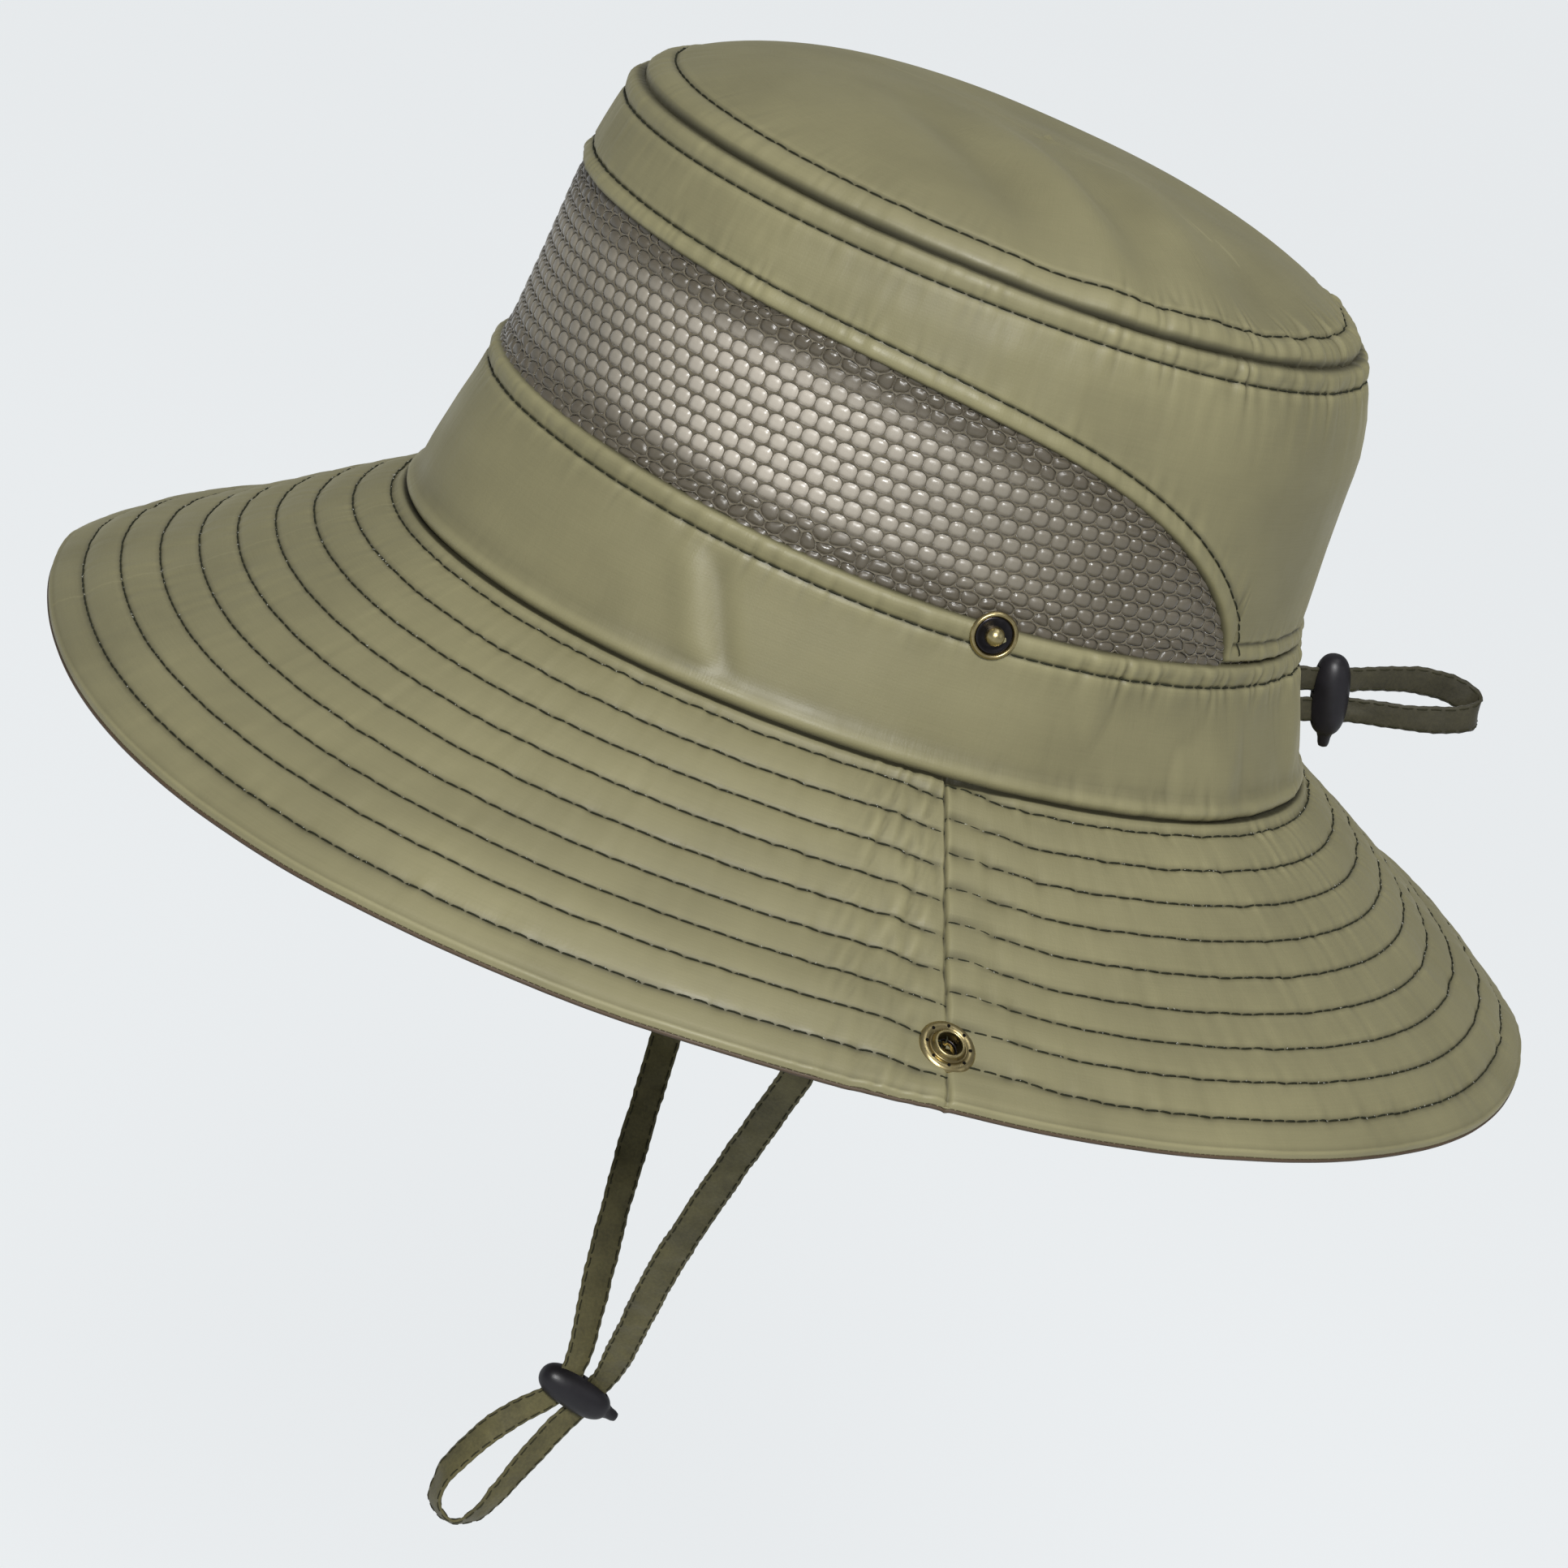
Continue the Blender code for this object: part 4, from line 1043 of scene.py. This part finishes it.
def quilt_shares(steps):
    """Shares of the brim's width: steps of each quilting row, and set places at both edges."""
    rows = [FIRST_ROW + ROW_STEP * (row + step) for row in range(QUILT_ROWS - 1) for step in steps]
    last = FIRST_ROW + ROW_STEP * (QUILT_ROWS - 1)
    inner = [-0.022, -0.010, 0, 0.006, 0.014, 0.024, 0.034, 0.040]
    outer = [last, last + 0.006, last + 0.016, last + 0.035, 0.955, 0.972, 0.984, 0.991, 0.996, 1.0]
    return np.array(inner + rows + outer)


def half_angles(sign, count):
    """Angles of one half of the hat, from its front to its back, closer together at the side seam."""
    angle = np.linspace(-np.pi / 2, np.pi / 2, count)
    ends = np.array([1, -1]) * (0.0005 - np.pi / 2)
    angle = np.sort(np.concatenate([angle[np.abs(angle) > 0.007], SEAM_COLUMNS, ends]))
    return angle if sign > 0 else (np.pi - angle)[::-1]


def follow_brim(made):
    """Bakes a piece's transform into its mesh."""
    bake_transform(made)


def make_brim_cloth(layer, surface, columns, steps, side, sign):
    """One of the brim's two cloths, on one half of the hat, with a hole for the snap's socket."""
    hole = socket_place(sign)
    angle = half_angles(sign, columns)
    shares = quilt_shares(steps)[:, None] * np.ones(len(angle))
    made = cloth(
        f"brim_{layer}_cloth_{side}", surface, angle, shares, FINISH[layer],
        keep=lambda middles: np.linalg.norm(middles - hole, axis=1) > SOCKET_CLEARANCE,
        uv_rows=row_place(shares) * ROW_PITCH,
    )
    nodes = [f"brim_{layer}_{part}" for part in ("front", "back", f"{side}_front", f"{side}_back")]
    if layer == "upper":
        row = row_place(shares) + row_jog(angle)
        stitched = (row > -0.1) * (row < QUILT_ROWS - 0.9)
        # Painted shade where the brim meets the crown's band, and along the grooves of the quilting rows.
        dark = 0.5 * stitched * hump(row - np.round(row), 0, 0.05)
        paint(made, "seam", ease(-shares, -0.020, -0.004) + dark)
        nodes += ["brim_stiffener", f"brim_stiffener_{side}"]
    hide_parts(*nodes)
    follow_brim(tidy(made))


def make_brim():
    for side, sign in SIDES:
        make_brim_cloth("upper", BRIM_SURFACE, 620, UPPER_STEPS, side, sign)
        make_brim_cloth("under", UNDER_SURFACE, 420, UNDER_STEPS, side, sign)

        angle = half_angles(sign, 1500)
        rows = [FIRST_ROW + ROW_STEP * (row - row_jog(angle)) for row in range(QUILT_ROWS)]
        runs = [
            run_on(surface, angle, share, lift)
            for surface, lift in ((BRIM_SURFACE, BRIM_LIFT), (UNDER_SURFACE, UNDER_LIFT)) for share in rows
        ]
        follow_brim(thread(f"brim_stitching_{side}", runs, FINISH["thread"]))

        angle = half_angles(sign, 420)
        shares = np.array([0.955, 0.975, 0.990, 1.0, 1.005])[:, None] * np.ones(len(angle))
        # The hem core's dark brown is painted shade: it shows at the rim as the shadowed gap between the
        # cloths.
        core = cloth(f"brim_rim_shade_core_{side}", HEM_SURFACE, angle, shares, FINISH["hem"], 0.7)
        follow_brim(core)
        follow_brim(make_lint(f"brim_stitch_lint_{side}", sign, 60 + sign))


def make_lint(name, sign, seed):
    """Tiny pale thread ends that stand out of the quilting's needle holes."""
    chance = np.random.default_rng(seed)
    row = chance.integers(0, QUILT_ROWS, LINT_COUNT)
    turn = chance.uniform(-np.pi / 2, np.pi / 2, LINT_COUNT)
    angle = turn if sign > 0 else np.pi - turn
    share = FIRST_ROW + ROW_STEP * (row - row_jog(angle))
    place, normal = run_on(BRIM_SURFACE, angle, share, 0.25)
    way = unit(np.cross(normal, chance.normal(size=(LINT_COUNT, 3))))
    length = chance.uniform(0.25, 0.75, LINT_COUNT)[:, None]
    lean = normal * chance.uniform(0.1, 0.9, LINT_COUNT)[:, None]
    end = place + unit(way + lean) * length
    side = unit(np.cross(end - place, normal)) * 0.13
    points = np.stack([place + side, place - side, place + normal * 0.2, end], 1).reshape(-1, 3)
    first = np.arange(LINT_COUNT)[:, None] * 4
    faces = np.concatenate([first + corners for corners in ((0, 2, 3), (2, 1, 3), (1, 0, 3), (0, 1, 2))])
    return add_mesh(name, points, faces.tolist(), FINISH["speck"])


# ---------------------------------------------------------------- snaps


def cut_corners(profile):
    """A profile with each corner cut off, except its first and last where it starts on the axis."""
    points = np.array(profile, float)
    closed = points[0, 0] > 0
    following = np.roll(points, -1, axis=0) if closed else points[1:]
    leading = points if closed else points[:-1]
    pairs = np.stack([leading * 0.75 + following * 0.25, leading * 0.25 + following * 0.75], 1).reshape(-1, 2)
    return pairs if closed else np.concatenate([points[:1], pairs[1:-1], points[-1:]])


def turned(name, profile, seat, finish, rounds=2, steps=56):
    """A profile of (radius, height) points, softened and turned about the seat's Z axis."""
    for _ in range(rounds):
        profile = cut_corners(profile)
    profile = np.asarray(profile, float)
    turn = np.arange(steps) / steps * 2 * np.pi
    ring = np.stack([np.cos(turn), np.sin(turn), np.zeros(steps)], -1)
    points = ring[:, None, :] * profile[None, :, :1] + np.array([0, 0, 1.0]) * profile[None, :, 1:]
    count = len(profile)
    corner = np.arange(count if profile[0, 0] > 0 else count - 1)
    here = np.arange(steps)[:, None] * count
    there, following = np.roll(here, -1, axis=0), (corner + 1) % count
    faces = np.stack([here + corner, there + corner, there + following, here + following], -1).reshape(-1, 4)
    made = tidy(add_mesh(name, points.reshape(-1, 3), faces.tolist(), finish))
    made.matrix_world = seat
    return made


def facing(place, normal):
    """A piece's seat: its origin at a place in millimetres, and its Z axis along normal."""
    turn = Vector(normal).to_track_quat("Z", "Y").to_matrix().to_4x4()
    return Matrix.Translation(Vector(place) * MM) @ turn


def stud_seat(sign):
    below, above = (wall(0.0, STUD_HEIGHT + rise) for rise in (-STUD_REACH, STUD_REACH))
    place, way = (below + above) / 2, unit(above - below)
    return facing((sign * place[0], 0, place[2]), (sign * way[2], 0, -way[0]))


def socket_seat(sign):
    slope = unit(brim(0.0, 1.0) - brim(0.0, 0.0))
    return facing(socket_place(sign), (-sign * slope[2], 0, slope[0]))


def ball_post():
    """The stud's ball on its neck, as a profile from the top down."""
    turn = np.radians(np.linspace(90, -52, 22))
    ball = [(STUD_BALL * math.cos(t), STUD_BALL_HEIGHT + STUD_BALL * math.sin(t)) for t in turn]
    ball[0] = (0, STUD_BALL_HEIGHT + STUD_BALL)
    return ball + [(STUD_NECK, -0.6), (STUD_NECK, -1.9), (0, -1.9)]


def make_dimples(name, seat):
    """Small holes round a socket's flange, as short plugs sunk in it, painted near black for the shade inside
    the holes.
    """
    shape = bmesh.new()
    for number in range(SOCKET_DIMPLES):
        turn = 2 * math.pi * number / SOCKET_DIMPLES
        place = Vector((DIMPLE_REACH * math.cos(turn), DIMPLE_REACH * math.sin(turn), 1.1)) * MM
        bmesh.ops.create_cone(
            shape, cap_ends=True, segments=14, radius1=0.30 * MM, radius2=0.36 * MM, depth=0.8 * MM,
            matrix=Matrix.Translation(place),
        )
    made = shaped(name, shape)
    made.data.materials.append(FINISH["hollow"])
    made.matrix_world = seat
    return made


def make_turned_parts(kind, word, parts, seat, side, body="hat"):
    for part, profile, finish in parts:
        made = turned(f"{kind}_{part}_{word}_{side}", profile, seat, FINISH[finish])
        place_piece(made, [f"{kind}_{part}_{side}"], body)


def make_snaps():
    for side, sign in SIDES:
        seat = stud_seat(sign)
        make_turned_parts("stud", "ring", STUD_PARTS, seat, side)
        post = turned(f"stud_ball_{side}", ball_post(), seat, FINISH["polished"], rounds=0)
        place_piece(post, [f"stud_post_{side}"])

        seat, flap = socket_seat(sign), f"brim_flap_{side}"
        make_turned_parts("socket", "metal", SOCKET_PARTS, seat, side, flap)
        place_piece(make_dimples(f"socket_dimples_{side}", seat), [], flap)


# ---------------------------------------------------------------- ribbons and beads


def smooth_route(points, spacing=0.8):
    """Places on a Catmull-Rom curve through points, about one spacing apart."""
    knots = np.array(points, float)
    length = np.linalg.norm(np.diff(knots, axis=0), axis=1).sum()
    count = int(length / spacing) + 2
    place = np.linspace(0, len(knots) - 1, count)
    span = np.minimum(place.astype(int), len(knots) - 2)
    t = (place - span)[:, None]
    knots = np.concatenate([2 * knots[:1] - knots[1:2], knots, 2 * knots[-1:] - knots[-2:-1]])
    a, b, c, d = (knots[span + step] for step in range(4))
    return 0.5 * (2 * b + (c - a) * t + (2 * a - 5 * b + 4 * c - d) * t**2 + (3 * b - a - 3 * c + d) * t**3)


def square_to(way, wish):
    """The directions nearest to wish that are square to each way."""
    wish = np.broadcast_to(np.array(wish, float), way.shape)
    return unit(wish - way * (wish * way).sum(axis=1, keepdims=True))


def bead_axis(tilt):
    return np.array([0, math.cos(tilt), math.sin(tilt)])


def widths_between(count, full, starts, ends):
    """Widths that are full between the shares starts and ends of a ribbon, and narrow towards its ends."""
    share = np.linspace(0, 1, count)
    near = np.maximum((starts - share) / max(starts, 0.01), (share - ends) / (1 - ends))
    return full + (RIBBON_WIDTH - full) * np.clip(1.8 * near, 0, 1)


def ribbon(name, route, across, seed, widths=RIBBON_WIDTH, crease=1.0, finish="ribbon"):
    """A creased flat ribbon along a route, its width along across, and the stitches along its edges."""
    way = unit(np.gradient(route, axis=0))
    across = square_to(way, across)
    normal = np.cross(way, across)
    far = np.concatenate([[0], np.cumsum(np.linalg.norm(np.diff(route, axis=0), axis=1))])
    turn = far * 0 + 0.3
    waviness = 0.03 * np.sin(far * 2.1 + seed) + 0.05 * bumps(turn, far / 5, 7, seed)
    width = widths / 2 * (1 + waviness)
    columns = np.linspace(-1, 1, 11)
    face = RIBBON_THICKNESS / 2 * (1 - 0.6 * np.abs(columns) ** 5)
    fold = 0.34 * bumps(turn[:, None] + columns * 0.35, far[:, None] / 4.2, 11, seed + 1)
    fold += 0.14 * bumps(turn[:, None] + columns * 0.9, far[:, None] / 2.0, 11, seed + 2)
    fold *= crease
    seam = 0.12 * hump(np.abs(columns), 0.66, 0.08)
    middle = route[:, None, :] + across[:, None, :] * (columns * width[:, None])[..., None]
    front, back = (middle + normal[:, None, :] * (fold + sign * (face - seam))[..., None] for sign in (1, -1))
    ring = np.concatenate([front, back[:, ::-1]], axis=1)
    count = ring.shape[1]
    faces = grid_faces(len(route), count, True).tolist()
    last = (len(route) - 1) * count
    for row in range(len(columns) - 1):
        pair = (row, row + 1, count - 2 - row, count - 1 - row)
        faces.append(pair[::-1])
        faces.append(tuple(last + corner for corner in pair))
    made = tidy(add_mesh(name, ring.reshape(-1, 3), faces, FINISH[finish]))
    runs = [(side[:, column], normal * sign) for side, sign in ((front, 1), (back, -1)) for column in (1, 9)]
    return made, thread(f"{name}_stitching", runs, FINISH["ribbon_thread"])


def free_ribbon(name, node, route, across, seed, widths, finish="ribbon"):
    """A ribbon outside the hat, with its stitches, in place of a CAD node that it hides."""
    made, stitches = ribbon(name, route, across, seed, widths, finish=finish)
    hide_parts(node)
    for piece in (made, stitches):
        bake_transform(piece)


def make_bead(name, node, centre, tilt):
    """A rubber cord stop: a blunt bar with a nib, and two slots for the ribbons."""
    half = BEAD_LENGTH / 2
    share = np.cos(np.linspace(np.pi, 0.30, 34))
    radius = BEAD_THICKNESS / 2 * (1 - np.abs(share) ** BEAD_BLUNTNESS) ** (1 / BEAD_BLUNTNESS)
    body = [(0, -half), *zip(radius[1:], share[1:] * half)]
    nib = [(reach, half + rise) for reach, rise in BEAD_NIB]
    seat = Matrix.Translation(Vector(centre) * MM) @ Matrix.Rotation(tilt, 4, "X")
    lying = seat @ Matrix.Rotation(math.radians(-90), 4, "X")
    made = turned(name, body + nib, lying, FINISH["rubber"], rounds=0, steps=48)
    size = [measure * MM for measure in (BEAD_SLOT[1], BEAD_SLOT[0], 3 * BEAD_THICKNESS)]
    for sign in (-1, 1):
        shape = bmesh.new()
        bmesh.ops.create_cube(shape, size=1.0, matrix=Matrix.Diagonal((*size, 1)))
        cutter = shaped("slot", shape)
        cutter.matrix_world = seat @ Matrix.Translation((0, sign * BEAD_HOLE_OFFSET * MM, 0))
        cut(made, cutter)
    return place_piece(made, [node], node)


def cut(made, cutter):
    """Cuts the cutter's shape out of a piece, and removes the cutter."""
    hole = made.modifiers.new("cut", "BOOLEAN")
    hole.solver = "EXACT"
    hole.object = cutter
    bpy.context.view_layer.update()
    mesh = bpy.data.meshes.new_from_object(made.evaluated_get(bpy.context.evaluated_depsgraph_get()))
    made.modifiers.clear()
    made.data = mesh
    bpy.data.objects.remove(cutter)
    mesh.set_sharp_from_angle(angle=math.radians(50))


def make_free_ribbons():
    chin_bead = make_bead("chin_bead_rubber", "chin_bead", CHIN_BEAD, CHIN_BEAD_TILT)
    back_bead = make_bead("back_bead_rubber", "back_bead", BACK_BEAD, BACK_BEAD_TILT)
    axis = bead_axis(CHIN_BEAD_TILT)
    for side, points, beads in (("left", CHIN_STRAP_LEFT, [chin_bead]), ("right", CHIN_STRAP_RIGHT, [])):
        route = smooth_route(points)
        share = np.linspace(0, 1, len(route))[:, None]
        turned_out = np.array([0, 1.0, 0]) + np.array([STRAP_TURN, 0, 0]) * np.sin(np.pi * share)
        across = turned_out * (1 - share) + axis * share
        free_ribbon(
            f"chin_strap_ribbon_{side}", f"chin_strap_{side}", route, across, len(side),
            widths_between(len(route), STRAP_WIDTH, 0, 0.72),
        )

    route = smooth_route(CHIN_LOOP)
    share = np.linspace(0, 1, len(route))[:, None]
    turn = math.radians(75) * np.sin(np.pi * share**1.4) ** 2
    in_plane = unit(np.cross(unit(np.gradient(route, axis=0)), (1.0, 0, 0)))
    across = in_plane * np.cos(turn) + np.array([1.0, 0, 0]) * np.sin(turn)
    free_ribbon(
        "chin_loop_ribbon", "chin_loop", route, across, 9, widths_between(len(route), LOOP_WIDTH, 0.25, 0.75),
    )

    route = smooth_route(BACK_LOOP)
    across = np.broadcast_to(bead_axis(BACK_BEAD_TILT), route.shape)
    # The drawstring loop takes the darker ribbon colour, which is painted shade.
    free_ribbon(
        "drawstring_loop_ribbon", "drawstring_loop", route, across, 14,
        widths_between(len(route), LOOP_WIDTH, 0.4, 0.6),
        "drawstring",
    )


def make_hidden_ribbons():
    """The drawstring's runs in its channel, and the tabs that hold the chin strap's ends."""
    for (side, sign), height in zip(SIDES, (BACK_LOOP[0][2], BACK_LOOP[-1][2])):
        angle = np.radians(np.linspace(14, 89.2, 90))
        route, above = (wall(angle, level, CHANNEL_DEPTH) * (sign, 1, 1) for level in (height, height + 1))
        name = f"drawstring_run_ribbon_{side}"
        # The runs take the darker ribbon colour too, painted shade.
        made, stitches = ribbon(name, route, above - route, 20 + sign, crease=0.1, finish="drawstring")
        place_piece(made, [f"drawstring_run_{side}"])
        place_piece(stitches, [])

        place = wall(math.radians(TAB_ANGLE), TAB_HEIGHT, TAB_INSET)
        heights = np.linspace(place[2] + TAB_HALF_LENGTH, place[2] - TAB_HALF_LENGTH, 18)
        route = np.stack([np.full(18, sign * place[0]), np.full(18, TAB_DEPTH), heights], -1)
        tab, stitches = ribbon(f"chin_strap_tab_cloth_{side}", route, (0, 1.0, 0), 30 + sign)
        place_piece(tab, [f"chin_strap_tab_{side}"])
        place_piece(stitches, [])


# ---------------------------------------------------------------- camera, light and floor


def toward(azimuth, elevation):
    """The direction at an azimuth and elevation in degrees: azimuth 0 is the front, and 90 the left side."""
    azimuth, elevation = math.radians(azimuth), math.radians(elevation)
    level = math.cos(elevation)
    return Vector((math.sin(azimuth) * level, -math.cos(azimuth) * level, math.sin(elevation)))


def make_camera():
    azimuth, roll = math.radians(CAMERA_AZIMUTH), math.radians(CAMERA_ROLL)
    back = toward(CAMERA_AZIMUTH, CAMERA_ELEVATION)
    level = Vector((math.cos(azimuth), math.sin(azimuth), 0))
    upright = back.cross(level)
    right = level * math.cos(roll) + upright * math.sin(roll)
    up = upright * math.cos(roll) - level * math.sin(roll)
    camera = in_scene("camera", bpy.data.cameras.new("camera"))
    turn = Matrix((right, up, back)).transposed().to_4x4()
    camera.matrix_world = Matrix.Translation(Vector(CAMERA_TARGET) + back * CAMERA_DISTANCE) @ turn
    camera.data.lens = CAMERA_LENS
    camera.data.shift_x, camera.data.shift_y = CAMERA_SHIFT
    camera.data.clip_start = 0.01
    bpy.context.scene.camera = camera


def area_light(name, turn, elevation, distance, size, power):
    """A square soft light that looks at the hat. turn is how far it stands round the hat from the camera."""
    light = bpy.data.lights.new(name, "AREA")
    light.size = size
    light.energy = power
    way = toward(CAMERA_AZIMUTH + turn, elevation).normalized()
    turned_to = way.to_track_quat("Z", "Y").to_matrix().to_4x4()
    in_scene(name, light).matrix_world = Matrix.Translation(way * distance) @ turned_to


def make_studio():
    for name, settings in LIGHTS.items():
        area_light(name, *settings)

    world = bpy.data.worlds.new("studio")
    bpy.context.scene.world = world
    world.use_nodes = True
    tree = world.node_tree
    background = tree.nodes["Background"]
    background.inputs["Color"].default_value = (*BACKDROP, 1)
    seen = tree.nodes.new("ShaderNodeLightPath")
    strength = tree.nodes.new("ShaderNodeMapRange")
    for key, value in zip(("To Min", "To Max"), BACKDROP_STRENGTH):
        strength.inputs[key].default_value = value
    tree.links.new(seen.outputs["Is Camera Ray"], strength.inputs["Value"])
    tree.links.new(strength.outputs["Result"], background.inputs["Strength"])

    shape = bmesh.new()
    bmesh.ops.create_circle(shape, cap_ends=True, segments=96, radius=FLOOR_RADIUS)
    floor = shaped("floor", shape)
    floor.location.z = FLOOR_HEIGHT
    floor.data.materials.append(floor_finish())
    bpy.context.scene.view_settings.view_transform = "Standard"


make_camera()
make_studio()
make_crown()
make_net()
make_brim()
make_snaps()
make_free_ribbons()
make_hidden_ribbons()
